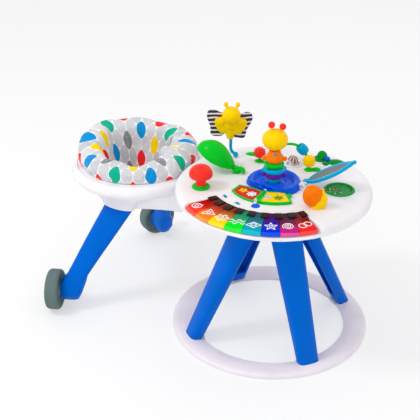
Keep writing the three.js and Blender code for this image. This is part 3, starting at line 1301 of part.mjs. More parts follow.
add('bug_body', shifted(bugBody(), bugX, bugY), 'yellow');
add('bug_wings', shifted(bugWings(), bugX, bugY), 'stripe');
add('mushroom_collar', shifted(mushroomCollar(), mushroom.x, mushroom.y), 'green');
add('mushroom', shifted(mushroomBody(), mushroom.x, mushroom.y), 'red');
add('leaf_stem', leafStem(), 'green');
add('leaf_lid', leafLid(), 'green');
add('mirror_lid', mirrorLid(), 'cyan');
add('lid_mirror', lidMirror(), 'mirror');
add('pond_frame', pondFrame(), 'green');
add('pond_window', pondWindow(), 'clear');
add('snail', snailBody(), 'orange');
add('book_frame', bookFrame(), 'green');
add('book_page', bookPage(), 'green');
add('round_button', roundButton(), 'deepBlue');
add('slide_switch_left', slideSwitch(0), 'cyan');
add('slide_switch_right', slideSwitch(1), 'cyan');
add('red_ball', bumpyBall(redBall), 'red');
add('red_ball_base', ballBase(redBall), 'green');
add('yellow_ball', bumpyBall(yellowBall), 'yellow');
add('yellow_ball_base', ballBase(yellowBall), 'green');
add('arch', archBody(), 'green');
add('arch_bead', archBead(), 'cyan');
add('spinner_mirror', spinnerMirror(), 'mirror');
add('leaf_cluster', leafCluster(), 'green');

export default model;
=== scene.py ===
# Baby activity center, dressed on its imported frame. Metres, +Z up, +X from the seat to the table.
import math

import bpy
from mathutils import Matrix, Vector


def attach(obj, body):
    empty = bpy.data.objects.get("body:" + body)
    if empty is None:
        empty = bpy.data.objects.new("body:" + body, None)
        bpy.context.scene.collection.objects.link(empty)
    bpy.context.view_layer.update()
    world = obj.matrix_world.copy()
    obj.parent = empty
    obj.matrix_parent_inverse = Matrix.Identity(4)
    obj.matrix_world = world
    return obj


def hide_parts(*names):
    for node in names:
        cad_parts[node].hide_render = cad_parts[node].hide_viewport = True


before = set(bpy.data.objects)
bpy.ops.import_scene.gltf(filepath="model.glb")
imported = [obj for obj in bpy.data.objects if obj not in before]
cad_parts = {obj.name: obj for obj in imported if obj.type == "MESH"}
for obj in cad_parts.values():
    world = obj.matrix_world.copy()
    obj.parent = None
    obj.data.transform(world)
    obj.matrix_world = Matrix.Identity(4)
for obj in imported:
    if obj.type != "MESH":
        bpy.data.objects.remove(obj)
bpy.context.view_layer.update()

scene = bpy.context.scene

# Where the frame's main parts stand
TABLE_X = 0.198
TABLE_TURN = math.radians(1.85)
TABLE_TOP = 0.479
DECK = 479.3  # in millimetres: the table's top and the clearance under what stands on it
SEAT_X = -0.289
FRONT = 29.6  # degrees from -Y to the side that the toys face, before the table's own turn
MM = 0.001


# Colours and finishes

def colour(red, green, blue):
    """A colour as seen on the plastic, 0 to 255, as the shader wants it."""
    def curve(value):
        share = value / 255
        return share / 12.92 if share <= 0.04045 else ((share + 0.055) / 1.055) ** 2.4
    return (curve(red), curve(green), curve(blue), 1.0)


def new_finish(name):
    """An empty finish with its main shader: the material, its nodes and the shader."""
    finish = bpy.data.materials.new(name)
    finish.use_nodes = True
    tree = finish.node_tree
    tree.nodes.clear()
    out = tree.nodes.new("ShaderNodeOutputMaterial")
    shader = tree.nodes.new("ShaderNodeBsdfPrincipled")
    tree.links.new(shader.outputs[0], out.inputs["Surface"])
    return finish, tree, shader


def add_node(tree, kind, links=(), **values):
    """A node with its settings and sockets set, and links made into its inputs."""
    made = tree.nodes.new(kind)
    for key, value in values.items():
        if hasattr(made, key):
            setattr(made, key, value)
        else:
            made.inputs[key.replace("_", " ")].default_value = value
    for socket, source in links:
        tree.links.new(source, made.inputs[socket])
    return made


def place_on(tree):
    """A socket with the place on the piece, in metres of the shared frame."""
    return add_node(tree, "ShaderNodeTexCoord").outputs["Object"]


def noise(tree, place, scale, **more):
    """Soft noise over the piece. The greater the scale, the finer it is."""
    return add_node(tree, "ShaderNodeTexNoise", [("Vector", place)], Scale=scale, **more).outputs[0]


def spread(tree, value, low, high, start=0.0, end=1.0, **more):
    """The value's span from low to high, spread over start to end and held at both."""
    return add_node(tree, "ShaderNodeMapRange", [("Value", value)], From_Min=low, From_Max=high,
                    To_Min=start, To_Max=end, **more).outputs[0]


def blended(tree, share, first, second, **more):
    """The first colour where the share is 0 and the second where it is 1. Each is a value or a socket."""
    made = add_node(tree, "ShaderNodeMix", data_type="RGBA", **more)
    for slot, value in ((0, share), (6, first), (7, second)):
        if isinstance(value, (tuple, int, float)):
            made.inputs[slot].default_value = value
        else:
            tree.links.new(value, made.inputs[slot])
    return made.outputs[2]


def socket_maths(tree):
    """A way to write sums of sockets and numbers as nested calls."""
    def work(operation, *values):
        made = tree.nodes.new("ShaderNodeMath")
        made.operation = operation
        for slot, value in zip(made.inputs, values):
            if isinstance(value, (int, float)):
                slot.default_value = value
            else:
                tree.links.new(value, slot)
        return made.outputs[0]
    return work


def bump_into(tree, shader, height, strength, distance):
    bump = add_node(tree, "ShaderNodeBump", [("Height", height)], Strength=strength, Distance=distance)
    tree.links.new(bump.outputs[0], shader.inputs["Normal"])


def cloudy_colour(tree, place, base, scale, amount):
    """The base colour, a little lighter and darker in soft clouds."""
    ramp = add_node(tree, "ShaderNodeValToRGB", [("Fac", noise(tree, place, scale, Detail=3))])
    dark = [channel * (1 - amount) for channel in base[:3]] + [1]
    light = [min(1, channel * (1 + amount * 0.6)) for channel in base[:3]] + [1]
    ramp.color_ramp.elements[0].position, ramp.color_ramp.elements[0].color = 0.35, dark
    ramp.color_ramp.elements[1].position, ramp.color_ramp.elements[1].color = 0.65, light
    return ramp.outputs["Color"]


GLAZE = 0.36  # the part of a finish's coat that shows


def moulded(name, base, roughness, coat, grain=0.12, metallic=0.0):
    """Injection moulded plastic: soft colour clouds, fine mould grain and faint scuffs in the gloss."""
    finish, tree, shader = new_finish(name)
    place = place_on(tree)
    tree.links.new(cloudy_colour(tree, place, base, 9, 0.05), shader.inputs["Base Color"])
    shader.inputs["Specular Tint"].default_value = base
    scuffs = spread(tree, noise(tree, place, 38, Detail=5), 0.3, 0.75, roughness * 0.85, roughness * 1.3)
    tree.links.new(scuffs, shader.inputs["Roughness"])
    bump_into(tree, shader, noise(tree, place, 900), grain, 0.0003)
    shader.inputs["Metallic"].default_value = metallic
    shader.inputs["Specular IOR Level"].default_value = 0.09
    shader.inputs["Coat Weight"].default_value = coat * GLAZE
    shader.inputs["Coat Roughness"].default_value = 0.2
    return finish


WHITE = moulded("white_plastic", colour(240, 237, 240), 0.36, 0.2)
RING_WHITE = moulded("ring_plastic", colour(236, 228, 235), 0.42, 0.15)
BLUE = moulded("blue_plastic", colour(0, 101, 206), 0.4, 0.1)
TYRE = moulded("tyre_grey", colour(103, 121, 119), 0.62, 0.0, 0.35)
GREEN = moulded("green_plastic", colour(0, 196, 38), 0.26, 0.4)
RED = moulded("red_plastic", colour(250, 54, 42), 0.28, 0.35)
CYAN = moulded("cyan_plastic", colour(0, 164, 214), 0.28, 0.35)
ORANGE = moulded("orange_plastic", colour(255, 122, 0), 0.28, 0.35)
YELLOW = moulded("yellow_plastic", colour(255, 207, 0), 0.28, 0.35)
PURPLE = moulded("purple_plastic", colour(112, 32, 172), 0.28, 0.35)
TEAL = moulded("teal_plastic", colour(0, 172, 160), 0.28, 0.35)
DEEP_BLUE = moulded("deep_blue_plastic", colour(0, 88, 228), 0.24, 0.4)
DARK = moulded("dark_plastic", colour(44, 28, 22), 0.24, 0.4)
STEEL = moulded("steel", colour(185, 188, 192), 0.3, 0.0, metallic=1.0)


def dress(name, finish):
    """A frame node in its finish, its loose triangles joined and its edges slightly rounded."""
    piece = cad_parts[name]
    piece.data.materials.clear()
    piece.data.materials.append(finish)
    for face in piece.data.polygons:
        face.use_smooth = True
    weld = piece.modifiers.new("join", "WELD")
    weld.merge_threshold = 0.00001
    bevel = piece.modifiers.new("round", "BEVEL")
    bevel.width = 0.6 * MM
    bevel.segments = 2
    bevel.limit_method = "ANGLE"
    bevel.angle_limit = math.radians(32)
    bevel.harden_normals = True


# Ways of shaping. Lengths are in millimetres, and pieces are made about the origin, then set in place.

def pick_none():
    """Clears the picks, so that a new piece is the only one."""
    bpy.ops.object.select_all(action="DESELECT")


def take(*pieces):
    """Picks just these pieces, the first one as the active one."""
    pick_none()
    for piece in pieces:
        piece.select_set(True)
    bpy.context.view_layer.objects.active = pieces[0]


def into_edit(piece):
    """Opens the piece's mesh for editing with all of it picked."""
    take(piece)
    bpy.ops.object.mode_set(mode="EDIT")
    bpy.ops.mesh.select_all(action="SELECT")


def out_of_edit():
    bpy.ops.object.mode_set(mode="OBJECT")


def tidy_skin(piece):
    """Joins doubled points and turns all faces outwards."""
    into_edit(piece)
    bpy.ops.mesh.remove_doubles(threshold=0.00002)
    bpy.ops.mesh.normals_make_consistent(inside=False)
    out_of_edit()


def soften(piece, angle=35):
    """Smooth shading over edges up to the angle, which stay sharp above it."""
    take(piece)
    bpy.ops.object.shade_smooth_by_angle(angle=math.radians(angle))


def single_point(name, x, y, z):
    """A new piece that holds one point, to be drawn out by extruding."""
    pick_none()
    bpy.ops.mesh.primitive_plane_add(size=0.002)
    piece = bpy.context.object
    piece.name = name
    into_edit(piece)
    bpy.ops.mesh.merge(type="CENTER")
    bpy.ops.transform.translate(value=(x * MM, y * MM, z * MM))
    return piece


def draw_line(name, points):
    """A piece drawn from point to point, left in edit mode."""
    piece = single_point(name, *points[0])
    for before, after in zip(points, points[1:]):
        step = [(b - a) * MM for a, b in zip(before, after)]
        bpy.ops.mesh.extrude_region_move(TRANSFORM_OT_translate={"value": step})
    return piece


def turned(name, line, steps, sweep=None, angle=35):
    """A half profile of (radius, height) spun about the upright axis, all round or between two angles."""
    piece = draw_line(name, [(radius, 0, height) for radius, height in line])
    bpy.ops.mesh.select_all(action="SELECT")
    if sweep:
        start, end = (math.radians(value) for value in sweep)
        out_of_edit()
        piece.rotation_euler.z = start
        settle(piece)
        into_edit(piece)
        bpy.ops.mesh.spin(steps=steps, angle=start - end, center=(0, 0, 0), axis=(0, 0, 1))
        bpy.ops.mesh.select_all(action="SELECT")
        bpy.ops.mesh.remove_doubles(threshold=0.00001)
        bpy.ops.mesh.fill_holes(sides=0)
    else:
        bpy.ops.mesh.spin(steps=steps, angle=2 * math.pi, center=(0, 0, 0), axis=(0, 0, 1))
    out_of_edit()
    tidy_skin(piece)
    soften(piece, angle)
    return piece


def settle(piece):
    """Moves the piece's place, turn and size into its mesh."""
    take(piece)
    bpy.ops.object.transform_apply(location=True, rotation=True, scale=True)
    return piece


def put(piece, x=0, y=0, z=0, turn=(0, 0, 0), grow=(1, 1, 1)):
    """Scales, turns and moves a piece and leaves its object at the origin. Turns in degrees, x first."""
    piece.scale = grow
    piece.rotation_euler = [math.radians(value) for value in turn]
    piece.location = (x * MM, y * MM, z * MM)
    return settle(piece)


def on_table(piece, x=0, y=0, z=0, turn=0.0):
    """Puts a piece made at the table's own axes where it goes on the table."""
    put(piece, x, y, z, (0, 0, turn))
    piece.rotation_euler.z = TABLE_TURN
    piece.location = (TABLE_X, 0, 0)
    return settle(piece)


def on_seat(piece):
    """Puts a piece made about the seat's axis where the seat is."""
    return put(piece, SEAT_X / MM)


def finished(piece, modifier):
    """Applies a modifier that was just added."""
    take(piece)
    bpy.ops.object.modifier_apply(modifier=modifier.name)
    return piece


def rounded(piece, width, segments, angle):
    """Rounds the edges that are sharper than the angle."""
    bevel = piece.modifiers.new("round", "BEVEL")
    bevel.width = width * MM
    bevel.segments = segments
    bevel.limit_method = "ANGLE"
    bevel.angle_limit = math.radians(angle)
    finished(piece, bevel)
    soften(piece, 45)
    return piece


def cut(piece, tool):
    """Takes the tool's shape out of the piece, and the tool away."""
    blade = piece.modifiers.new("cut", "BOOLEAN")
    blade.operation = "DIFFERENCE"
    blade.solver = "EXACT"
    blade.object = tool
    finished(piece, blade)
    bpy.data.objects.remove(tool)


def joined(name, *pieces):
    """The pieces as one piece, under a new name."""
    take(*pieces)
    bpy.ops.object.join()
    pieces[0].name = name
    return pieces[0]


def melted(name, pieces, grain, passes):
    """Overlapping pieces run into one soft-edged skin."""
    piece = joined(name, *pieces)
    skin = piece.modifiers.new("melt", "REMESH")
    skin.mode = "VOXEL"
    skin.voxel_size = grain * MM
    finished(piece, skin)
    soft = piece.modifiers.new("soft", "SMOOTH")
    soft.iterations = passes
    soft.factor = 0.5
    finished(piece, soft)
    take(piece)
    bpy.ops.object.shade_smooth()
    return piece


def ball(name, radius, x=0, y=0, z=0, grow=(1, 1, 1), segments=32):
    """A ball or, with grow, a drawn-out ball."""
    pick_none()
    bpy.ops.mesh.primitive_uv_sphere_add(segments=segments, ring_count=segments // 2, radius=radius * MM)
    piece = bpy.context.object
    piece.name = name
    bpy.ops.object.shade_smooth()
    return put(piece, x, y, z, grow=grow)


def rod(name, radius, start, end, sides, end_radius=None):
    """A straight round bar between two points, tapered where its end has another radius."""
    pick_none()
    first, last = Vector(start), Vector(end)
    bpy.ops.mesh.primitive_cone_add(vertices=sides, radius1=radius * MM,
                                    radius2=(radius if end_radius is None else end_radius) * MM,
                                    depth=(last - first).length * MM)
    piece = bpy.context.object
    piece.name = name
    piece.rotation_mode = "QUATERNION"
    piece.rotation_quaternion = (last - first).to_track_quat("Z", "Y")
    piece.location = (first + last) / 2 * MM
    settle(piece)
    soften(piece)
    return piece


def swept(name, points, radius, closed=False, sides=4, shares=None):
    """A round bar along a smooth line of points, its thickness varied by the shares where they are given."""
    line = bpy.data.curves.new(name, "CURVE")
    line.dimensions = "3D"
    line.bevel_depth = radius * MM
    line.bevel_resolution = sides
    line.resolution_u = 8
    line.use_fill_caps = not closed
    spline = line.splines.new("BEZIER")
    spline.bezier_points.add(len(points) - 1)
    for knot, point in zip(spline.bezier_points, points):
        knot.co = [value * MM for value in point]
        knot.handle_left_type = knot.handle_right_type = "AUTO"
    for knot, share in zip(spline.bezier_points, shares or []):
        knot.radius = share
    spline.use_cyclic_u = closed
    piece = bpy.data.objects.new(name, line)
    scene.collection.objects.link(piece)
    take(piece)
    bpy.ops.object.convert(target="MESH")
    piece = bpy.context.object
    tidy_skin(piece)
    soften(piece, 60)
    return piece


def slab(name, outline, low, high, edge=0.0):
    """A flat shape of (x, y) points drawn as a line, filled and drawn up to its height."""
    piece = draw_line(name, [(x, y, low) for x, y in outline] + [(*outline[0], low)])
    bpy.ops.mesh.select_all(action="SELECT")
    bpy.ops.mesh.remove_doubles(threshold=0.00001)
    bpy.ops.mesh.edge_face_add()
    bpy.ops.mesh.extrude_region_move(TRANSFORM_OT_translate={"value": (0, 0, (high - low) * MM)})
    out_of_edit()
    tidy_skin(piece)
    if edge:
        rounded(piece, edge, 3, 50)
    else:
        soften(piece)
    return piece


def smooth_run(a, b, c, d, steps):
    """Points on the smooth curve from b to c that also heeds a and d."""
    pull, twist = 2 * a - 5 * b + 4 * c - d, 3 * b - a - 3 * c + d
    shares = [k / steps for k in range(steps)]
    return [0.5 * (2 * b + (c - a) * t + pull * t * t + twist * t ** 3) for t in shares]


def eased(points, steps):
    """A smooth line through the given points, closed on itself."""
    count = len(points)
    line = []
    for i in range(count):
        near = [Vector(points[(i + k) % count]) for k in (-1, 0, 1, 2)]
        line += [tuple(point) for point in smooth_run(*near, steps)]
    return line


def along(points, steps):
    """A smooth open line through the given points."""
    ends = [Vector(point) for point in (points[0], *points, points[-1])]
    line = []
    for i in range(1, len(ends) - 2):
        line += smooth_run(*ends[i - 1:i + 3], steps)
    return line + [ends[-1]]


def around(radius, azimuth):
    """The point at this radius and this many degrees round."""
    return (radius * math.cos(math.radians(azimuth)), radius * math.sin(math.radians(azimuth)))


def arc(radius, start, end, steps):
    """Points round a part of a circle."""
    return [around(radius, start + (end - start) * i / steps) for i in range(steps + 1)]


def ring_line(radius, x=0, y=0, wide=1.0, steps=20, ripple=0.0, waves=5):
    """Points round a circle or, with a ripple, round a flower's edge."""
    line = []
    for k in range(steps):
        t = 2 * math.pi * k / steps
        reach = radius + ripple * math.cos(waves * t)
        line.append((x + wide * reach * math.cos(t), y + reach * math.sin(t)))
    return line


def mix(a, b, share):
    """The number that lies this share of the way from a to b."""
    return a + (b - a) * share


def wear(piece, finish, body, *nodes):
    """Gives a finished piece its finish and its body, and hides the frame nodes that it stands for."""
    piece.data.materials.clear()
    piece.data.materials.append(finish)
    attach(piece, body)
    if nodes:
        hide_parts(*nodes)
    return piece


def add_finish(piece, finish, chosen):
    """A second finish on the faces whose middle the rule chooses."""
    piece.data.materials.append(finish)
    slot = len(piece.data.materials) - 1
    for face in piece.data.polygons:
        if chosen(face.center):
            face.material_index = slot


# Seat sling. Its angles run from the middle of its low front.

SLING_FACING = math.radians(-60)
SLING_COLUMNS = 216
RING_TOP = 441.9  # the swivel ring's top, which the sling hangs from
FRONT_RISE, BACK_RISE = 38, 70
MOTIFS_ROUND = 27
MOTIF_TALL = 50
PUFF_STEPS, PUFF_PRESSURE, PUFF_LIMIT = 20, 4.0, 7


def sling_rise(angle):
    """How far the roll stands over the swivel ring, by the angle from the front of the seat."""
    back = (1 - math.cos(angle)) / 2
    shoulder = max(0, math.cos(angle - math.radians(232))) ** 4
    return mix(FRONT_RISE, BACK_RISE, back ** 1.15) + 5 * math.sin(angle) ** 2 + 16 * shoulder


def hump(away, reach):
    """A smooth hump, 1 in its middle and low past its reach."""
    return math.exp(-(away / reach) ** 2)


def off(angle, middle):
    """How far an angle lies from a middle given in degrees, the short way round."""
    return math.remainder(angle - math.radians(middle), 2 * math.pi)


def sling_strip(angle):
    """One strip of the sling from its hidden underside over the roll to the seat bottom: (radius, height)."""
    back = (1 - math.cos(angle)) / 2
    rise = sling_rise(angle)
    pucker = 1 + 0.03 * math.cos(8 * angle)
    full = mix(0.98, 0.76, back)
    inward = 32 * hump(off(angle, 74), 0.6) + 7 * hump(off(angle, -75), 0.62) + 15 * (1 - back) ** 3
    return [
        (32, 327), (92, 330), (115, 387), (144, 427), (148.8, RING_TOP), (181, RING_TOP),
        (187, RING_TOP + rise * 0.3), (185, RING_TOP + rise * 0.66), (169 * pucker, RING_TOP + rise * 0.97),
        (154 * pucker - inward * 0.5, RING_TOP + rise), (131 * pucker - inward, RING_TOP + rise * full - 4),
        (112.5 * pucker - inward * 0.5, mix(RING_TOP - 4, 411, math.sqrt(back))),
        (100, 370), (87, 340), (34, 333),
    ]


def gather(angle, share):
    """How far the cloth puffs out between its gathers, which draw it in at both sides of the throat."""
    puff = 0
    groups = ((-97, 30), (70, 27))  # middle and reach of each group of gathers, in degrees
    for middle, reach in groups:
        away = off(angle, middle) / math.radians(reach)
        folds = abs(math.sin(4.1 * away + 0.5)) ** 0.6
        puff += hump(share - 0.68, 0.16) * hump(away, 1) * (15 * folds - 11)
        puff -= 7 * hump(away * 3, 1) * hump(share - 0.76, 0.07)
    slow = math.sin(5 * angle + 0.6) * hump(share - 0.66, 0.2)
    return puff + 1.6 * slow


def print_place(column, run):
    """Where a point of the cloth lies on the print, counted in motifs round and along."""
    angle = 2 * math.pi * column / SLING_COLUMNS
    across = MOTIFS_ROUND * column / SLING_COLUMNS + 0.5 * math.sin(angle)
    return across, run / MOTIF_TALL + 1 + math.cos(angle)


def sling_body():
    """The padded cloth as a closed skin, with its pattern places kept in a UV map."""
    strips = []
    for column in range(SLING_COLUMNS):
        angle = 2 * math.pi * column / SLING_COLUMNS
        line = along(sling_strip(angle), 5)
        strip, places, run = [], [], 0
        for row, point in enumerate(line):
            before, after = line[max(0, row - 1)], line[min(len(line) - 1, row + 1)]
            way = (after - before).normalized()
            out = gather(angle, row / (len(line) - 1))
            strip.append(point + Vector((-way.y, way.x)) * out)
            run += (point - before).length if row else 0
            places.append(run)
        strips.append((angle, strip, places))
    count = len(strips[0][1])
    points = []
    for angle, strip, _ in strips:
        turn = angle + SLING_FACING
        points += [(p.x * MM * math.cos(turn), p.x * MM * math.sin(turn), p.y * MM) for p in strip]
    faces, corners = [], []
    for column in range(SLING_COLUMNS):
        for row in range(count - 1):
            ends = ((column, row), (column + 1, row), (column + 1, row + 1), (column, row + 1))
            faces.append([c % SLING_COLUMNS * count + r for c, r in ends])
            corners += [print_place(c, strips[c % SLING_COLUMNS][2][r]) for c, r in ends]
    for row in (0, count - 1):
        rim = [column * count + row for column in range(SLING_COLUMNS)]
        faces.append(rim if row else rim[::-1])
        corners += [(0, 0)] * SLING_COLUMNS
    mesh = bpy.data.meshes.new("seat_cloth")
    mesh.from_pydata(points, [], faces)
    layer = mesh.uv_layers.new(name="cloth")
    for slot, corner in zip(layer.data, corners):
        slot.uv = corner
    piece = bpy.data.objects.new("seat_cloth", mesh)
    scene.collection.objects.link(piece)
    into_edit(piece)
    bpy.ops.mesh.normals_make_consistent(inside=False)
    out_of_edit()
    return piece


def blown(piece):
    """Cloth simulation under a little pressure without gravity, no point moved further than the limit."""
    before = [vertex.co.copy() for vertex in piece.data.vertices]
    cloth = piece.modifiers.new("cloth", "CLOTH")
    cloth.settings.quality = 6
    cloth.settings.mass = 0.25
    cloth.settings.tension_stiffness = 12
    cloth.settings.compression_stiffness = 12
    cloth.settings.bending_stiffness = 0.25
    cloth.settings.shrink_min = -0.035
    cloth.settings.use_pressure = True
    cloth.settings.uniform_pressure_force = PUFF_PRESSURE
    cloth.settings.effector_weights.gravity = 0
    cloth.collision_settings.use_collision = False
    cloth.point_cache.frame_end = PUFF_STEPS
    for number in range(1, PUFF_STEPS + 1):
        scene.frame_set(number)
    finished(piece, cloth)
    scene.frame_set(1)
    for vertex, start in zip(piece.data.vertices, before):
        step = vertex.co - start
        hidden = start.z < 0.36 or abs(start.z / MM - RING_TOP) < 4
        most = (1.5 if hidden else PUFF_LIMIT) * MM
        if step.length > most:
            vertex.co = start + step * (most / step.length)
    return piece


def printed_cloth():
    """Grey cloth with a half-drop print of pointed ovals, every third one in a colour."""
    finish, tree, shader = new_finish("seat_print")
    work = socket_maths(tree)
    place = add_node(tree, "ShaderNodeUVMap", uv_map="cloth").outputs[0]
    parts = add_node(tree, "ShaderNodeSeparateXYZ", links=[("Vector", place)])
    u, v = parts.outputs[0], parts.outputs[1]
    low = work("FLOOR", v)
    found = []
    for row in (low, work("ADD", low, 1)):
        odd = work("FLOORED_MODULO", row, 2)
        shift = work("MULTIPLY", odd, 0.5)
        column = work("ROUND", work("SUBTRACT", u, shift))
        aside = work("ABSOLUTE", work("SUBTRACT", work("SUBTRACT", u, shift), column))
        above = work("ABSOLUTE", work("SUBTRACT", v, row))
        across = work("POWER", work("MULTIPLY", aside, 2), 1.4)
        along_it = work("POWER", work("DIVIDE", above, 0.66), 1.95)
        inside = work("MULTIPLY", work("SUBTRACT", 1, work("ADD", across, along_it)), 13)
        found.append((inside, column, row, odd))
    first = work("GREATER_THAN", found[0][0], found[1][0])
    second = work("SUBTRACT", 1, first)

    def chosen(index):
        near, next_one = found[0][index], found[1][index]
        return work("ADD", work("MULTIPLY", near, first), work("MULTIPLY", next_one, second))

    inside, column, row, odd = (chosen(index) for index in range(4))
    motif = spread(tree, inside, 0.5, 1.2, interpolation_type="SMOOTHSTEP")
    third = work("COMPARE", work("FLOORED_MODULO", work("SUBTRACT", column, odd), 3), 0, 0.1)
    place_round = work("FLOORED_MODULO", work("ADD", column, 6.1), MOTIFS_ROUND)
    turn = work("FLOORED_MODULO", work("FLOOR", work("DIVIDE", place_round, 3)), 2)
    cycle = work("FLOORED_MODULO", work("SUBTRACT", row, 6), 5)
    order = work("DIVIDE", work("ADD", work("MULTIPLY", cycle, 2), work("ADD", turn, 0.5)), 10)
    inks = add_node(tree, "ShaderNodeValToRGB", links=[("Fac", order)])
    inks.color_ramp.interpolation = "CONSTANT"
    teal, red, blue = colour(0, 178, 142), colour(245, 40, 40), colour(0, 146, 214)
    yellow, dark = colour(255, 215, 0), colour(122, 122, 128)
    order_of_inks = [red, red, blue, teal, yellow, dark, red, blue, yellow, dark]
    for index, ink in enumerate(order_of_inks):
        stop = inks.color_ramp.elements[index] if index < 2 else inks.color_ramp.elements.new(index / 10)
        stop.position, stop.color = index / 10, ink
    pair = add_node(tree, "ShaderNodeCombineXYZ", links=[("X", column), ("Y", row)])
    dice = add_node(tree, "ShaderNodeTexWhiteNoise", [("Vector", pair.outputs[0])], noise_dimensions="2D")
    streak = spread(tree, noise(tree, place, 9, Distortion=2.2), 0.5, 0.56)
    darks = work("MAXIMUM", work("COMPARE", order, 0.55, 0.02), work("COMPARE", order, 0.95, 0.02))
    brushed = work("MULTIPLY", work("MULTIPLY", darks, streak), 0.45)
    inked = blended(tree, brushed, inks.outputs[0], colour(214, 214, 218))
    greys = add_node(tree, "ShaderNodeValToRGB", [("Fac", dice.outputs["Value"])])
    greys.color_ramp.elements[0].color = colour(198, 200, 205)
    greys.color_ramp.elements[1].color = colour(220, 221, 225)
    motifs = blended(tree, third, greys.outputs[0], inked)
    body = place_on(tree)
    thread = noise(tree, body, 420)
    heather = spread(tree, thread, 0.3, 0.7, 0.86, 1.08)
    woven_motifs = blended(tree, 1, motifs, heather, blend_type="MULTIPLY")
    cloth = blended(tree, motif, colour(242, 242, 246), woven_motifs)
    tree.links.new(cloth, shader.inputs["Base Color"])
    shader.inputs["Roughness"].default_value = 0.88
    shader.inputs["Sheen Weight"].default_value = 0.12
    shader.inputs["Specular IOR Level"].default_value = 0.1
    heights = work("ADD", noise(tree, body, 55, Detail=4), work("MULTIPLY", thread, 0.16))
    bump_into(tree, shader, heights, 0.55, 0.0022)
    return finish


def leg_bands(piece):
    """The two leg holes in the seat bottom, each with a rolled band sewn round it."""
    ahead, aside, radius = 23, 46, 36  # of each hole, from the seat's axis
    c, s = math.cos(SLING_FACING), math.sin(SLING_FACING)
    bands = []
    for side in (1, -1):
        x, y = ahead * c - side * aside * s, ahead * s + side * aside * c
        cut(piece, rod("hole", radius, (x, y, 300), (x, y, 375), 48))
        ring = [(*point, 336) for point in ring_line(radius + 0.5, x, y, steps=16)]
        bands.append(swept("leg_band", ring, 4.2, closed=True))
    return bands


def seat_cloth():
    """The sling, blown up and printed, with its bands."""
    piece = sling_body()
    blown(piece)
    fine = piece.modifiers.new("fine", "SUBSURF")
    fine.levels = fine.render_levels = 1
    finished(piece, fine)
    bands = leg_bands(piece)
    take(piece)
    bpy.ops.object.shade_smooth()
    wear(on_seat(piece), printed_cloth(), "seat", "seat_sling")
    for index, band in enumerate(bands):
        band.name = "leg_band_" + "ab"[index]
        wear(on_seat(band), BINDING, "seat")


def binding_tape():
    """A plain matte cloth tape."""
    finish, tree, shader = new_finish("binding_tape")
    place = place_on(tree)
    tree.links.new(cloudy_colour(tree, place, colour(196, 199, 204), 30, 0.08), shader.inputs["Base Color"])
    bump_into(tree, shader, noise(tree, place, 900), 0.4, 0.0006)
    shader.inputs["Roughness"].default_value = 0.9
    return finish


BINDING = binding_tape()
seat_cloth()


# Toys on the table

def front_turned(piece, x, y, z=0):
    """Turns a toy made facing -Y to the front of the table and puts it at its place."""
    return on_table(piece, x, y, z, FRONT)


def striped_crinkle():
    """Crinkly cloth with dark and pale stripes across."""
    finish, tree, shader = new_finish("striped_crinkle")
    work = socket_maths(tree)
    place = place_on(tree)
    parts = add_node(tree, "ShaderNodeSeparateXYZ", links=[("Vector", place)])
    waver = work("MULTIPLY", noise(tree, place, 30), 0.6)
    height = work("ADD", work("MULTIPLY", parts.outputs[2], 72), waver)
    band = work("ABSOLUTE", work("SUBTRACT", work("FRACT", height), 0.5))
    pale = spread(tree, band, 0.3, 0.33)
    stripes = blended(tree, pale, colour(38, 34, 40), colour(240, 228, 240))
    tree.links.new(stripes, shader.inputs["Base Color"])
    bump_into(tree, shader, noise(tree, place, 110), 0.5, 0.001)
    shader.inputs["Roughness"].default_value = 0.6
    return finish


STALK_FOOT = (-188, 114)
STALK_LEAN = 15.6  # how far the stalk's top stands aside of its foot
BUG = (STALK_FOOT[0] - 3 - STALK_LEAN * math.cos(math.radians(FRONT)),
       STALK_FOOT[1] - STALK_LEAN * math.sin(math.radians(FRONT)), 543)


def both_sides(half):
    """A smooth closed outline from its right half."""
    return eased(half + [(-x, z) for x, z in reversed(half)], 3)


def bug_toy():
    """A puffed body with two pairs of lobes, a round head and two feelers, before a striped cloth flap."""
    half = [(9, 0), (13, 13), (25, 19), (37, 24), (43, 34), (49, 47), (48, 60), (36, 67), (20, 70)]
    outline = both_sides(half)
    trunk = rounded(slab("trunk", outline, -8, 8), 5, 4, 60)
    put(trunk, turn=(90, 0, 0))
    pieces = [trunk, ball("crown", 28.5, 0, 0, 75), ball("chest", 20, 0, -2, 44, (1, 0.55, 1.2)),
              rod("tail", 11, (0, 0, 0), (0, 0, 24), 24)]
    for side in (-1, 1):
        pieces.append(ball("feeler", 7.5, 18 * side, 0, 111))
        pieces.append(rod("feeler_stem", 3.2, (13 * side, 0, 94), (18 * side, 0, 109), 16))
        pieces.append(ball("lobe", 15, 31 * side, -2, 53, (1.1, 0.6, 0.95)))
        pieces.append(ball("low_lobe", 12, 24 * side, -2, 27, (1.1, 0.6, 0.95)))
    body = put(melted("bug_form", pieces, 1.3, 5), turn=(0, 2.5, 0))
    wear(front_turned(body, *BUG), YELLOW, "bug", "bug_body")
    wing = [(8, 30), (14, 6), (33, 1), (46, 1), (54, 8), (55, 20), (58, 34), (64, 48), (69, 60), (70, 74),
            (64, 86), (52, 89), (38, 84), (22, 78), (10, 70)]
    outline = both_sides(wing)
    sheet = slab("wing_cloth", outline, -9.6, -8.4)
    into_edit(sheet)
    bpy.ops.mesh.bisect(plane_co=(0, 0, 0), plane_no=(1, 0, 0))
    out_of_edit()
    put(sheet, turn=(90, 0, 0))
    put(sheet, -7, 0, -1, turn=(0, 5, 0))
    wear(front_turned(sheet, *BUG), striped_crinkle(), "bug", "bug_wings")


STACK_BORE = 8.5  # radius of the hole for the post
KNOB_REACH = 30.5  # from the post to the knobs' and hands' middles


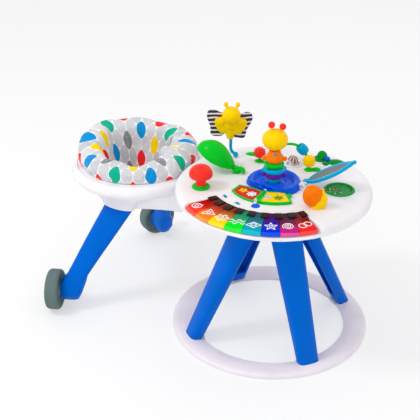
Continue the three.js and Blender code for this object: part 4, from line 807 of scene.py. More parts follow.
def knob_ring(name, bottom, radius, height, knob_turn, finish, node):
    """A swelling ring of the stack with a round knob on a short neck at each side."""
    middle = bottom + height / 2
    line = [(STACK_BORE, bottom)]
    for k in range(11):
        turn = (k / 10 - 0.5) * math.pi * 0.94
        line.append((radius * (0.72 + 0.28 * math.cos(turn)), bottom + height / 2 * (1 + math.sin(turn))))
    line += [(STACK_BORE, bottom + height), (STACK_BORE, bottom)]
    parts = [turned(name, line, 64)]
    for side in (-1, 1):
        parts.append(ball("knob", 6.8, KNOB_REACH * side, 0, middle))
        parts.append(rod("neck", 5, (10 * side, 0, middle), (30 * side, 0, middle), 20))
    whole = joined(name, *parts)
    put(whole, turn=(0, 0, knob_turn))
    return wear(on_table(whole), finish, node, node)


def stack_toys():
    """Three knobbed rings, an orange body with two hands, and a bare round head with two tips."""
    knob_ring("purple_segment", 503.5, 26, 18, 20, PURPLE, "ring_purple")
    knob_ring("cyan_segment", 522, 33, 17, 38, CYAN, "ring_cyan")
    knob_ring("green_segment", 539.5, 29.5, 16, 75, GREEN, "ring_green")
    orange = [(STACK_BORE, 556), (23, 556.3), (26.5, 560.5), (27.5, 566.5), (25.5, 572.5), (21, 578),
              (18.5, 583), (17.5, 587.5), (15.5, 591), (STACK_BORE, 591.5), (STACK_BORE, 556)]
    body = turned("orange_segment", orange, 64, angle=50)
    arms = []
    for side in (-1, 1):
        arms.append(ball("hand", 6.8, KNOB_REACH * side, 0, 564.5))
        arms.append(rod("arm", 5.5, (12 * side, 0, 569), (29 * side, 0, 565), 20))
    body = joined("orange_segment", body, *arms)
    put(body, turn=(0, 0, 24))
    wear(on_table(body), ORANGE, "ring_orange", "ring_orange")
    dot = ball("collar_dot", 4.6, 0, -18.5, 583, (1, 0.6, 1))
    wear(front_turned(dot, 0, 0), CYAN, "ring_orange")
    crown = ball("crown", 37.5, 0, 0, 624, (1, 1, 31.5 / 37.5), 48)
    for side in (-1, 1):
        x, tip = 16 * side + 4.5, 666.5 - side * 2.8
        stem = rod("stem", 3.4, (x - side, 0, 648), (x, 0, tip - 6), 16)
        crown = joined("head_form", crown, stem, ball("tip", 10, x, 0, tip))
    wear(front_turned(crown, 0, 0), YELLOW, "stack_head", "stack_head")
    add_finish(crown, RED, lambda spot: spot.z > 0.6565)


def mushroom_toy():
    """A round cap over a waisted stem, as one button."""
    line = [(0, 483.4), (16, 483.4), (16, 489), (14.6, 497), (13.4, 504), (14.4, 508.2), (20, 508.9),
            (27, 510), (31.5, 512.8)]
    for a in (math.radians(step) for step in range(-9, 90, 9)):
        line.append((35 * math.cos(a), 521.5 + 29.5 * math.sin(a)))
    line.append((0, 551))
    cap = turned("mushroom_form", line, 72, angle=60)
    wear(on_table(cap, -178, -119), RED, "mushroom", "mushroom")


def leaf_shape(name, length, half_width, rise, x, z=0):
    """A leaf-shaped dome made of a half ball that is drawn out along X and pulled in at both ends."""
    pick_none()
    bpy.ops.mesh.primitive_uv_sphere_add(segments=40, ring_count=28, radius=1)
    piece = bpy.context.object
    piece.name = name
    put(piece, turn=(0, 90, 0))
    into_edit(piece)
    bpy.ops.mesh.bisect(plane_co=(0, 0, 0), plane_no=(0, 0, 1), use_fill=True, clear_inner=True)
    out_of_edit()
    for vertex in piece.data.vertices:
        share = (vertex.co.x + 1) / 2
        ball_wide = math.sqrt(max(1e-6, 1 - vertex.co.x ** 2))
        wide = math.sin(math.pi * (0.05 + 0.91 * share)) ** 0.7 * min(1, ball_wide * 2.4)
        height = rise * wide * mix(0.85, 1.6, share) * vertex.co.z / ball_wide
        vertex.co = Vector((x + length * share, half_width * wide * vertex.co.y / ball_wide, z + height)) * MM
    tidy_skin(piece)
    soften(piece, 60)
    return piece


LEAF_HINGE = (-137, 20, 489)


def leaf_toy():
    """The hollow leaf with the barrel and pin that it swings on, shown partly open."""
    dome = leaf_shape("leaf_form", 129, 45, 36, 7)
    cut(dome, leaf_shape("inside", 117, 41.5, 32.5, 12, -0.4))
    barrel = rounded(rod("barrel", 9.2, (0, -9, 0), (0, 9, 0), 48), 4, 5, 60)
    pin = rod("pin", 4, (0, -14.4, 0), (0, 14.4, 0), 24)
    neck = rod("neck", 7.5, (2, 0, 0.6), (22, 0, 6), 24, 9)
    lid = joined("leaf_form", dome, barrel, pin, neck)
    put(lid, turn=(0, -26, 0))
    put(lid, turn=(0, 0, -168))
    wear(on_table(lid, *LEAF_HINGE), GREEN, "leaf_lid", "leaf_lid")


def shell_line(lift):
    """The spiral on one face of the snail's shell."""
    count = 30
    line = []
    for k in range(count + 1):
        reach, turn = mix(15, 5, k / count), k * math.pi / 10 + 0.6
        line.append((reach * math.cos(turn), lift, reach * math.sin(turn)))
    return line


def snail_toy():
    """A round shell with a spiral groove on both faces, over a smooth body with a raised head."""
    stand = [ball("foot", 20, 10, 0, 0, (1.1, 0.95, 0.9)), ball("belly", 20, 15, 0, 12, (1.05, 0.95, 1)),
             ball("throat", 15, 23, 0, 22, (1, 1, 1.1)), ball("crown", 13.6, 23, 0, 30)]
    for side in (-1, 1):
        stand.append(rod("feeler_stem", 2.4, (23, 5 * side, 38), (24, 7 * side, 48), 14))
        stand.append(ball("feeler", 4.6, 24, 7 * side, 49))
    body = melted("snail_body", stand, 1.0, 6)
    into_edit(body)
    bpy.ops.mesh.bisect(plane_co=(0, 0, 0), plane_no=(0, 0, 1), use_fill=True, clear_inner=True)
    out_of_edit()
    half = [(27.8 * math.cos(t) ** 0.9, 20.5 * math.sin(t)) for t in (k * math.pi / 48 for k in range(24))]
    half.append((0, 20.5))
    shell = turned("snail_shell", [(r, -z) for r, z in reversed(half[1:])] + half, 72, angle=70)
    put(shell, turn=(90, 0, 0))
    shell = joined("snail_shell", shell, *(swept("spiral", shell_line(lift), 1.2) for lift in (-18.6, 18.6)))
    put(shell, -5, 0, 34.6, grow=(1, 1, 1.2))
    for piece, finish, nodes in ((shell, ORANGE, ["snail"]), (body, YELLOW, [])):
        wear(front_turned(piece, 160, -70, 479.4), finish, "snail", *nodes)


def bumpy_ball(name, x, y, radius, finish, node):
    """A ball with a blunt bump at every point of a ball of triangles, bare under its foot."""
    pick_none()
    bpy.ops.mesh.primitive_ico_sphere_add(subdivisions=2, radius=1)
    guide = bpy.context.object
    ways = [vertex.co.normalized() for vertex in guide.data.vertices]
    bpy.data.objects.remove(guide)
    parts = [ball(name, radius)]
    for way in ways:
        if way.z > -0.8:
            tip = way * (radius + 1.6)
            parts.append(rod("bump", 3.1, tuple(way * (radius - 2)), tuple(tip), 10, 1.6))
            parts.append(ball("bump_tip", 1.8, *tip, segments=10))
    whole = joined(name, *parts)
    return wear(on_table(whole, x, y, 508), finish, node, node)


def bug_stalk_form():
    """A round blue stalk that drops straight and turns aside into its ball foot."""
    steps = [(1, 547), (1, 530), (1, 514), (0.86, 502), (0.42, 493), (0, 488.5)]
    line = [(-STALK_LEAN * share, 0, height) for share, height in steps]
    stalk = joined("stalk_form", swept("stalk", line, 4.8, sides=6), ball("ball_foot", 8.6, 0, 0, 488))
    put(stalk, turn=(0, 0, FRONT))
    wear(on_table(stalk, *STALK_FOOT), CYAN, "bug_stalk", "bug_stalk")


def leaf_hook():
    """The leaf's stem: two round ears on a thin foot, and a tail that curls down to a point."""
    line = [(8.6, 0, 0.5), (16, 0.5, 2.2), (23, -2.5, 1), (27.5, -8.5, -2.6), (27, -15, -6)]
    parts = [swept("leaf_hook", line, 7, sides=8, shares=[1.25, 1.2, 1.0, 0.7, 0.3]),
             slab("foot", [(-8, -14.4), (12, -14.4), (12, 14.4), (-8, 14.4)], -9.7, -7.6, 0.8)]
    for side in (-1, 1):
        parts.append(rounded(rod("ear", 6.4, (0, 9.7 * side, 0), (0, 13.8 * side, 0), 32), 1.4, 4, 60))
        near, far = 9.7 * side, 13.8 * side
        parts.append(slab("ear_foot", [(-6.4, near), (6.4, near), (6.4, far), (-6.4, far)], -9.7, 0, 0.8))
    parts.append(ball("hook_root", 9, 9.5, 0, -1, (0.8, 1.5, 0.95)))
    hook = melted("leaf_hook", parts, 0.9, 5)
    cut(hook, rod("barrel_room", 9.7, (0, -9.6, 0), (0, 9.6, 0), 40))
    cut(hook, slab("under", [(-30, -30), (40, -30), (40, 30), (-30, 30)], -30, -9.7))
    soften(hook, 50)
    put(hook, turn=(0, 0, 12))
    wear(on_table(hook, *LEAF_HINGE), GREEN, "stand", "leaf_stem")


def ball_stand(name, x, y, turn, lift, length, node, second=True):
    """A low cone and stem with one or two leaf blades growing from it."""
    line = [(0, DECK), (15, DECK), (14.4, 481), (12, 482.8), (8, 484.4), (4.4, 486.4), (4, 489), (4, 507),
            (0, 507), (0, DECK)]
    cone = turned(name, line, 48)
    blade = leaf_shape("blade", length, 10.5, 6, 3, lift)
    put(blade, turn=(0, -3, 0))
    put(blade, 0, 0, 479.5, turn=(0, 0, turn))
    parts = [cone, blade]
    if second:
        parts.append(put(leaf_shape("low_blade", 26, 9, 5, 2, 0), turn=(0, 0, turn + 150)))
        put(parts[-1], 0, 0, 479.5)
    wear(on_table(joined(name, *parts), x, y), GREEN, "stand", node)


bug_toy()
bug_stalk_form()
stack_toys()
mushroom_toy()
leaf_toy()
leaf_hook()
snail_toy()
RED_SPOT, YELLOW_SPOT = (-109, 123), (48.5, 142)
bumpy_ball("red_bumpy", *RED_SPOT, 17.3, RED, "red_ball")
bumpy_ball("yellow_bumpy", *YELLOW_SPOT, 18.3, YELLOW, "yellow_ball")
ball_stand("red_ball_stand", *RED_SPOT, 205, 20, 42, "red_ball_base")
ball_stand("yellow_ball_stand", *YELLOW_SPOT, 20, 0, 34, "yellow_ball_base", False)


# Piano keys. Azimuths are in degrees round the table, and the keys are sectors of one ring.

KEY_START, KEY_END, KEY_COUNT = -123.5, -39.0, 8
KEY_PITCH = (KEY_END - KEY_START) / KEY_COUNT
KEY_INNER, KEY_OUTER, KEY_TOP = 188, 288.6, 481.5


def key_finish(name, inner, middle, outer, rim):
    """A key that runs from a dark inner end to a bright lip, with a pale edge that is a painted highlight on
    the rolled lip.
    """
    finish, tree, shader = new_finish(name)
    place = place_on(tree)
    shifted = add_node(tree, "ShaderNodeVectorMath", [(0, place)], operation="SUBTRACT")
    shifted.inputs[1].default_value = (TABLE_X, 0, TABLE_TOP)
    reach = add_node(tree, "ShaderNodeVectorMath", [(0, shifted.outputs[0])], operation="LENGTH")
    share = spread(tree, reach.outputs["Value"], KEY_INNER * MM, KEY_OUTER * MM)
    wander = socket_maths(tree)("MULTIPLY_ADD", noise(tree, place, 45), 0.1, share)
    ramp = add_node(tree, "ShaderNodeValToRGB", [("Fac", wander)])
    # The last stop, at the very edge, is a painted highlight on the rolled lip
    stops = [(0.30, inner), (0.64, middle), (0.87, outer), (0.99, outer), (1.0, rim)]
    for index, (spot, tint) in enumerate(stops):
        stop = ramp.color_ramp.elements[index] if index < 2 else ramp.color_ramp.elements.new(spot)
        stop.position, stop.color = spot, tint
    tree.links.new(ramp.outputs[0], shader.inputs["Base Color"])
    tree.links.new(ramp.outputs[0], shader.inputs["Specular Tint"])
    shader.inputs["Roughness"].default_value = 0.2
    shader.inputs["Specular IOR Level"].default_value = 0.07
    shader.inputs["Coat Weight"].default_value = 0.04
    shader.inputs["Coat Roughness"].default_value = 0.08
    bump_into(tree, shader, noise(tree, place, 60), 0.1, 0.0006)
    return finish


# Each key's colours: inner end, middle, lip, and the pale edge, which is a painted highlight
KEY_TINTS = [
    ((120, 12, 6), (208, 22, 12), (248, 58, 44), (250, 92, 80)),
    ((126, 32, 6), (222, 70, 0), (252, 126, 16), (252, 150, 70)),
    ((120, 50, 0), (206, 116, 0), (255, 208, 0), (254, 218, 50)),
    ((0, 128, 96), (0, 168, 96), (0, 226, 28), (50, 234, 60)),
    ((0, 90, 100), (0, 120, 142), (0, 160, 180), (30, 184, 204)),
    ((66, 14, 104), (36, 10, 168), (0, 44, 216), (30, 84, 228)),
    ((66, 6, 40), (118, 8, 72), (196, 28, 126), (224, 84, 164)),
    ((96, 6, 12), (166, 8, 18), (240, 34, 36), (246, 78, 78)),
]


def key_piece(index):
    """A key with a round front lip and a skirt under it."""
    gap = 0.2
    start = KEY_START + index * KEY_PITCH + gap / 2
    line = [(KEY_INNER, 471.5), (281.6, 471.5), (281.6, 466.6), (KEY_OUTER, 466.6), (KEY_OUTER, 470.8),
            (286.6, 474.2), (282, 477.2), (276, 479.4), (268, 480.9), (258, KEY_TOP), (KEY_INNER, KEY_TOP),
            (KEY_INNER, 471.5)]
    piece = turned(f"key_plate_{index + 1}", line, 12, (start, start + KEY_PITCH - gap))
    rounded(piece, 1.1, 3, 50)
    tints = [colour(*tint) for tint in KEY_TINTS[index]]
    wear(on_table(piece), key_finish(f"key_tint_{index + 1}", *tints), f"key_{index + 1}", f"key_{index + 1}")


# Line drawings about the origin, as (x, y) points

def straight_sides(corners, parts=4):
    """Points close together along straight sides, so that the drawn line keeps its corners."""
    return [tuple(mix(a, b, k / parts) for a, b in zip(first, second))
            for first, second in zip(corners, corners[1:] + corners[:1]) for k in range(parts)]


def star_line(radius):
    """A star of five points."""
    corners = []
    for k in range(10):
        reach = radius * (0.48 if k % 2 else 1)
        corners.append((reach * math.sin(k * math.pi / 5), reach * math.cos(k * math.pi / 5)))
    return straight_sides(corners, 3)


def wave_line(reach, height, y, turns=2):
    """A level wave with this many crests."""
    count = 24
    return [(mix(-reach, reach, k / count), y + height * math.sin(turns * 2 * math.pi * k / count))
            for k in range(count + 1)]


def spiral_line(radius):
    """A spiral that winds out from near its middle."""
    count, turns = 44, 2.6
    line = []
    for k in range(count + 1):
        reach, turn = radius * (k + 3) / (count + 3), turns * 2 * math.pi * k / count
        line.append((reach * math.cos(turn), reach * math.sin(turn)))
    return line


KEY_DRAWINGS = [
    [(ring_line(9, -5, -1, 1.25), True), (ring_line(4.2, -5, -1), True), (wave_line(7, 2, 7, 1), False)],
    [(straight_sides([(-15, -8), (15, -8), (0, 12)]), True), (ring_line(4, 0, -2), True)],
    [(ring_line(10, 0, 0, 1.2, 40, 2.6, 6), True), (ring_line(3.6), True)],
    [(wave_line(17, 4, 6), False), (wave_line(17, 4, -4), False)],
    [(straight_sides([(-16, 0), (0, -11), (16, 0), (0, 11)]), True), (ring_line(4.5, 0, 0, 1.4), True)],
    [(star_line(14), True), (ring_line(3.4, 0, -0.5), True)],
    [(spiral_line(13), False)],
    [(ring_line(8, -6, -3, 1.1), True), (ring_line(8, 6, 3, 1.1), True)],
]


def key_drawing(index):
    """One plain white line drawing, printed on the key and slightly raised."""
    middle = KEY_START + (index + 0.5) * KEY_PITCH
    strokes = [swept("stroke", [(x, y, 0) for x, y in points], 1.25, closed, 2)
               for points, closed in KEY_DRAWINGS[index]]
    piece = joined(f"key_drawing_{index + 1}", *strokes)
    half_way_to_front = 90 + (FRONT - middle - 90) * 0.6
    put(piece, turn=(0, 0, half_way_to_front), grow=(1.25, 1.25, 0.8))
    put(piece, *around(257, middle), KEY_TOP - 0.5, (0, 3, middle))
    wear(on_table(piece), PRINT_WHITE, f"key_{index + 1}")


def black_keys():
    """The dark comb between the keys: a thin inner rail and nine blunt blocks."""
    half, end_half = 3.0, 1.6
    rail_line = [(184, 463.4), (187.4, 463.4), (187.4, 482), (184, 482), (184, 463.4)]
    rail = turned("key_comb", rail_line, 64, (KEY_START - end_half, KEY_END + end_half))
    block_line = [(187.6, 481.9), (214, 481.9), (215, 482.2), (215, 484.4), (212.5, 485.6), (187.6, 485.6),
                  (187.6, 481.9)]
    blocks = []
    for index in range(KEY_COUNT + 1):
        middle = KEY_START + index * KEY_PITCH
        start = middle - (half if index else end_half)
        end = middle + (half if index < KEY_COUNT else end_half)
        blocks.append(rounded(turned("block", block_line, 6, (start, end)), 1.1, 3, 40))
    wear(on_table(joined("key_comb", rail, *blocks)), DARK, "stand", "key_bezel")


PRINT_WHITE = moulded("printed_white", colour(248, 248, 250), 0.5, 0.0)
for number in range(KEY_COUNT):
    key_piece(number)
    key_drawing(number)
black_keys()


# Wheels, dish, lid, pond, book and the small toys behind

WHEEL_BACK, WHEEL_ASIDE, WHEEL_RADIUS = 625, 290.5, 65  # from the table's centre


def wheel_piece(which, side):
    """A wheel with a rounded tread, a sunk web and a raised hub, its axis towards the table's centre."""
    name, body, half, bore = f"{which}_tyre", f"wheel_{which}", 21, 5.6
    upper = [(bore, half - 0.4), (18.5, half - 0.4), (20, half - 1.6), (25, half - 6), (44, half - 6),
             (47, half - 5.4), (54, half - 0.8), (57, half)]
    for a in (math.radians(step) for step in (18, 36, 54, 72, 90)):
        upper.append((WHEEL_RADIUS - 9 + 9 * math.sin(a), half - 9 * (1 - math.cos(a))))
    line = [(r, -z) for r, z in upper] + [(r, z) for r, z in reversed(upper)] + [(bore, -(half - 0.4))]
    tyre = turned(name, line, 72, angle=40)
    ribs = []
    for turn in range(0, 360, 60):
        rib = rod("rib", 2.4, (22, 0, half - 6.2), (50, 0, half - 6.2), 12)
        ribs.append(put(rib, turn=(0, 0, turn)))
    tyre = joined(name, tyre, *ribs)
    put(tyre, turn=(0, 90, 0))
    put(tyre, turn=(0, 0, math.degrees(math.atan2(WHEEL_ASIDE * side, WHEEL_BACK))))
    put(tyre, TABLE_X / MM - WHEEL_BACK, -WHEEL_ASIDE * side, WHEEL_RADIUS)
    wear(tyre, TYRE, body, body)


def dish_piece():
    """The round dish with a moat round its middle, its front cut away in a curve behind a waved lip."""
    line = [(0, DECK), (81, DECK), (82, 480.3), (82, 483.2), (81, 484.6), (79.4, 488), (78, 492),
            (76.4, 496), (74, 498.6), (71, 499.4), (66, 499), (61, 497), (57.5, 493), (54.5, 488.6),
            (50, 486.2), (42, 485.8), (36, 487.6), (31, 492), (28, 493.2), (9.2, 493.2), (9.2, 485), (0, 485)]
    dish = turned("dish_form", line, 96, angle=30)
    front = [(-90, -6), (-81.5, -14), (-78, -24), (-72, -34), (-62, -42), (-48, -47.5), (-28, -51),
             (0, -52.5), (28, -52.5), (48, -51), (62, -46), (72, -37), (78, -26), (81.5, -14), (90, -6)]
    cut(dish, slab("notch", front + [(110, -8), (110, -110), (-110, -110), (-110, -8)], 470, 510))
    rounded(dish, 2.2, 4, 50)
    lip = [(-73, -12), (-70, -23), (-62, -32), (-50, -38), (-34, -40), (-16, -38.5), (2, -39.5), (20, -43),
           (38, -44.5), (54, -41), (66, -32), (72, -20), (74, -10)]
    crest = [(x, y, 492.6 + 1.6 * math.sin(k * 0.8)) for k, (x, y) in enumerate(lip)]
    wave = swept("wave", crest, 4.2, sides=6)
    wear(on_table(joined("dish_form", dish, wave)), DEEP_BLUE, "stand", "centre_dish")


LID_HINGE, LID_AZIMUTH, LID_LIFT = (87, 32, 494), 21, 28.5  # as the photo shows it, partly open
LID_LENGTH, LID_HALF_WIDTH = 156, 33.5


def lens_points(inset):
    """The lid's pointed oval outline, from the barrel to the tip, drawn in by the inset."""
    start, end = 7.5 + inset, LID_LENGTH - inset * 1.6
    wide, middle = LID_HALF_WIDTH - inset, LID_LENGTH * 0.52

    def run(a, b, c, d):
        line = []
        for t in (n / 10 for n in range(10)):
            shares = ((1 - t) ** 3, 3 * (1 - t) ** 2 * t, 3 * (1 - t) * t * t, t ** 3)
            pairs = list(zip(shares, (a, b, c, d)))
            line.append(tuple(sum(share * corner[k] for share, corner in pairs) for k in (0, 1)))
        return line

    return (run((start, 0), (start + wide * 0.15, -wide * 0.75), (middle * 0.6, -wide), (middle, -wide))
            + run((middle, -wide), (middle * 1.45, -wide), (end - wide * 0.25, -wide * 0.3), (end, 0))
            + run((end, 0), (end - wide * 0.25, wide * 0.3), (middle * 1.45, wide), (middle, wide))
            + run((middle, wide), (middle * 0.6, wide), (start + wide * 0.15, wide * 0.75), (start, 0)))


def on_lid(piece):
    """Puts a piece made on the level lid on the lifted one."""
    put(piece, turn=(0, -LID_LIFT, 0))
    return on_table(put(piece, turn=(0, 0, LID_AZIMUTH)), *LID_HINGE)


def mirror_lid_piece():
    """The lid with its sunk mirror, and the white cheek that covers its hinge."""
    frame_plate = slab("lid_form", lens_points(0), -4.5, 4.5)
    cut(frame_plate, slab("pocket", lens_points(12), 2.2, 6))
    rounded(frame_plate, 2.6, 4, 60)
    barrel = rounded(rod("barrel", 7.5, (0, -10, 0), (0, 10, 0), 40), 1.2, 3, 60)
    neck = rod("neck", 6.2, (2, 0, 0), (22, 0, 0), 28, 7.5)
    pin = rod("pin", 3.5, (0, -15, 0), (0, 15, 0), 24)
    knob = ball("lid_knob", 6, LID_LENGTH, 0, 0)
    wear(on_lid(joined("lid_form", frame_plate, barrel, neck, pin, knob)), CYAN, "mirror_lid", "mirror_lid")
    glass = slab("lid_glass", lens_points(12.3), 2.5, 4.0)
    wear(on_lid(rounded(glass, 0.4, 2, 60)), MIRROR, "mirror_lid", "lid_mirror")
    cheek = rounded(rod("lid_cheek", 10.5, (0, -17, 0), (0, -22.5, 0), 40), 1.8, 4, 60)
    foot = slab("cheek_foot", [(-10.5, -22.5), (10.5, -22.5), (10.5, -17), (-10.5, -17)], -14.8, 0, 1)
    cover = put(joined("lid_cheek", cheek, foot), turn=(0, 0, LID_AZIMUTH))
    wear(on_table(cover, *LID_HINGE), WHITE, "stand")


POND = (181, 64)
LOOSE_BEADS = 15


def pond_pieces():
    """A low green ring with a clear dome over loose beads."""
    line = [(0, 472), (45, 472), (45, 479), (44.6, 480.8), (43, 482), (40.5, 482), (38, 481), (37.2, 479),
            (37.2, 474), (0, 474)]
    bowl = turned("pond_form", line, 72, angle=40)
    wear(on_table(bowl, *POND), POND_GREEN, "stand", "pond_frame")
    dome_line = [(0, 478), (36.6, 478)]
    for a in (math.radians(step) for step in range(0, 90, 9)):
        dome_line.append((36.6 * math.cos(a), 478.4 + 5.2 * math.sin(a)))
    dome = turned("pond_dome", dome_line + [(0, 483.6)], 72, angle=60)
    wear(on_table(dome, *POND), CLEAR, "stand", "pond_window")
    paints = [RED, YELLOW, CYAN, ORANGE, PRINT_WHITE, PURPLE]
    for number in range(LOOSE_BEADS):
        x, y = around(3.5 + 5.3 * math.sqrt(number), 137.5 * number)
        bead = ball(f"loose_bead_{number + 1}", 2.7, POND[0] - 12 + x, POND[1] - 6 + y, 476.8, segments=14)
        wear(on_table(bead), paints[number % len(paints)], "stand")


def print_lines():
    """The printed parts of the two pages of the open book as outlines, drawn in from the pages' edges."""
    inset, turn = 4.6, 3.4
    low, high = 61 + inset, 132 - inset
    left = arc(low, -87 - turn * 1.6, -118 + turn, 8) + [around(101 - inset / 2, -146 + turn)]
    left += arc(high, -131 + turn / 2, -87 - turn * 1.6, 10)
    right = arc(low, -87 + turn * 2, -34 - turn * 1.4, 12) + arc(high, -41 - turn * 0.7, -87 + turn * 2, 12)
    return left, right


def flower(name, radius, petals, depth, low, high, x, y):
    """A flat flower with petals of this depth."""
    return slab(name, ring_line(radius, x, y, 1.0, 48, depth, petals), low, high)


def leaf_outline(x, y, length, wide, turn):
    """A flat leaf, pointed at both ends."""
    c, s = math.cos(math.radians(turn)), math.sin(math.radians(turn))
    side = [(length * (k / 10 - 0.5), wide * math.sin(math.pi * k / 10)) for k in range(11)]
    points = side + [(a, -b) for a, b in side[-2:0:-1]]
    return [(x + a * c - b * s, y + a * s + b * c) for a, b in points]


def book_pieces():
    """Printed inlays in the tray and in the page that turns, with plain flowers, dots and leaves."""
    left, right = print_lines()
    wear(on_table(slab("left_print", left, 482.6, 483.3)), PRINT_RED, "stand")
    wear(on_table(slab("right_print", right, 486.5, 487.2)), YELLOW, "book_page")
    x, y = around(101, -124)
    wear(on_table(flower("left_flower", 11, 5, 3.2, 483.2, 483.7, x, y)), YELLOW, "stand")
    wear(on_table(flower("left_flower_heart", 3.6, 5, 0, 483.4, 484, x, y)), ORANGE, "stand")
    x, y = around(96, -105)
    wear(on_table(flower("left_cloud", 13.5, 7, 1.6, 483.2, 483.7, x, y)), PRINT_WHITE, "stand")
    ring = [(*point, 483.7) for point in ring_line(8, x, y, ripple=1.5, waves=4)]
    wear(on_table(swept("cloud_line", ring, 0.6, True, 2)), PRINT_GREY, "stand")
    x, y = around(98, -76)
    wear(on_table(flower("right_pebble", 12.5, 9, 1, 487.1, 487.6, x, y)), PRINT_PALE, "book_page")
    ring = [(*point, 487.6) for point in ring_line(7, x, y, ripple=2, waves=3)]
    wear(on_table(swept("pebble_line", ring, 0.6, True, 2)), PRINT_GREY, "book_page")
    x, y = around(101, -56)
    for number, turn in enumerate((10, 70, 130)):
        outline = leaf_outline(x, y, 35, 6, turn)
        blade = slab(f"right_leaf_{number + 1}", outline, 487.1, 487.6 + number * 0.12)
        wear(on_table(blade), PRINT_GREEN, "book_page")


ARCH_RADIUS, ARCH_MIDDLE = 54.05, (-33, 177.7)


def arch_toys():
    """The arch's sliding bead, and the fan of leaves beside the arch."""
    bore, half = 7.9, 16.4
    line = [(bore, -half)]
    for k in range(13):
        turn = (k / 12 - 0.5) * math.pi * 0.9
        line.append((bore + 8.7 * math.cos(turn) ** 0.6, 16.6 * math.sin(turn)))
    line += [(bore, half), (bore, -half)]
    bead = turned("arch_bead_form", line, 56, angle=60)
    up, reach = 0.76 * math.pi, ARCH_RADIUS - 1.1
    put(bead, turn=(0, math.degrees(up), 0))
    put(bead, -reach * math.cos(up), 0, DECK + reach * math.sin(up))
    put(bead, *ARCH_MIDDLE, 0, (0, 0, FRONT))
    wear(on_table(bead), CYAN, "arch_bead", "arch_bead")
    x, y = 68, 218
    blades = []
    fan = ((16, 60, 17, 8, 0), (-58, 26, 10, 6, 0), (168, 38, 15, 9, 2), (140, 34, 17, 15, 9))
    for turn, length, wide, rise, lift in fan:
        blade = leaf_shape("blade", length, wide, rise, 2, lift)
        blades.append(put(blade, 0, 0, 479.5, turn=(0, 0, turn)))
    wear(on_table(joined("leaf_fan", *blades), x, y), DARK_GREEN, "stand", "leaf_cluster")
    wear(on_table(ball("fan_bead", 9, x + 6, y + 5, 487.6)), DEEP_BLUE, "stand")


LENS_PLACE = (0.1852, 0.1497)  # in the shared frame, in metres


def lens_piece():
    """A little rayed lens on the pin that it spins on."""
    line = [(0, -11), (6, -10.4), (11, -8.2), (14.8, -4.6), (16.5, 0), (14.8, 4.6), (11, 8.2), (6, 10.4),
            (0, 11)]
    lens = put(turned("drum_form", line, 48, angle=60), turn=(0, 20, 0))
    pin = rod("pin", 1.6, (0, -21.5, 0), (0, 21.5, 0), 12)
    collar = rod("collar", 2.6, (0, -18.2, 0), (0, 18.2, 0), 16)
    whole = joined("drum_form", lens, pin, collar)
    wear(on_table(whole, -8, 150, 497.5), lens_finish(), "spinner_mirror", "spinner_mirror")


def lens_finish():
    """Dark and pale rays that bend away from the middle."""
    finish, tree, shader = new_finish("drum_rays")
    work = socket_maths(tree)
    place = place_on(tree)
    parts = add_node(tree, "ShaderNodeSeparateXYZ", links=[("Vector", place)])
    x = work("SUBTRACT", parts.outputs[0], LENS_PLACE[0])
    y = work("SUBTRACT", parts.outputs[1], LENS_PLACE[1])
    reach = work("SQRT", work("ADD", work("MULTIPLY", x, x), work("MULTIPLY", y, y)))
    rays = work("MULTIPLY", work("ARCTAN2", y, x), 9 / (2 * math.pi))
    bent = work("ADD", rays, work("MULTIPLY", reach, 40))
    band = work("ABSOLUTE", work("SUBTRACT", work("FRACT", bent), 0.5))
    ink = blended(tree, spread(tree, band, 0.23, 0.27), colour(66, 38, 32), colour(236, 196, 190))
    tree.links.new(ink, shader.inputs["Base Color"])
    shader.inputs["Roughness"].default_value = 0.2
    shader.inputs["Specular IOR Level"].default_value = 0.3
    return finish


def leg_socket(side):
    """The smooth flare that runs from the seat's belly down to the top of one leg."""
    # height, distance aside, half length and half width of each ring of the flare
    steps = [(330.2, 122, 58, 23), (340, 122.5, 61, 26), (352, 122.5, 68, 32), (364, 121, 80, 42),
             (375, 118, 96, 54), (385, 114, 114, 68), (394, 110, 130, 80), (402, 106, 142, 86)]
    ahead = 5
    pick_none()
    bpy.ops.mesh.primitive_circle_add(vertices=96, radius=MM, fill_type="NGON")
    flare = bpy.context.object
    flare.name = "leg_flare"
    height, away, length, width = steps[0]
    put(flare, ahead, side * away, height, grow=(length, width, 1))
    into_edit(flare)
    for before, after in zip(steps, steps[1:]):
        rise, out = (after[0] - before[0]) * MM, side * (after[1] - before[1]) * MM
        bpy.ops.mesh.extrude_region_move(TRANSFORM_OT_translate={"value": (0, out, rise)})
        bpy.ops.transform.resize(value=(after[2] / before[2], after[3] / before[3], 1),
                                 center_override=(ahead * MM, side * after[1] * MM, after[0] * MM))
    out_of_edit()
    tidy_skin(flare)
    belly = [(0, 320), (120.4, 320), (120.4, 361), (131, 365.4), (167, 383), (199, 398.4), (209.6, 411),
             (210, 430), (0, 430), (0, 320)]
    cut(flare, turned("belly", belly, 96))
    soften(flare, 40)
    wear(on_seat(flare), WHITE, "seat_frame")


def foot_collars():
    """A low white bead on the floor ring round the foot of each table leg."""
    leg_twist = 7.8
    corners = {"front_left": -135, "front_right": -45, "rear_right": 45, "rear_left": 135}
    for name, azimuth in corners.items():
        loop = []
        for k in range(40):
            c, s = math.cos(k * math.pi / 20), math.sin(k * math.pi / 20)
            x = 254 + 25 * math.copysign(abs(c) ** 0.66, c)
            y = 34.4 * math.copysign(abs(s) ** 0.66, s)
            inward = max(0, math.hypot(x, y) - 236)
            loop.append((x, y, 7.4 + 12 * inward / 54))
        collar = swept(f"foot_collar_{name}", loop, 2.2, closed=True, sides=4)
        wear(on_table(collar, turn=azimuth + leg_twist), WHITE, "stand")


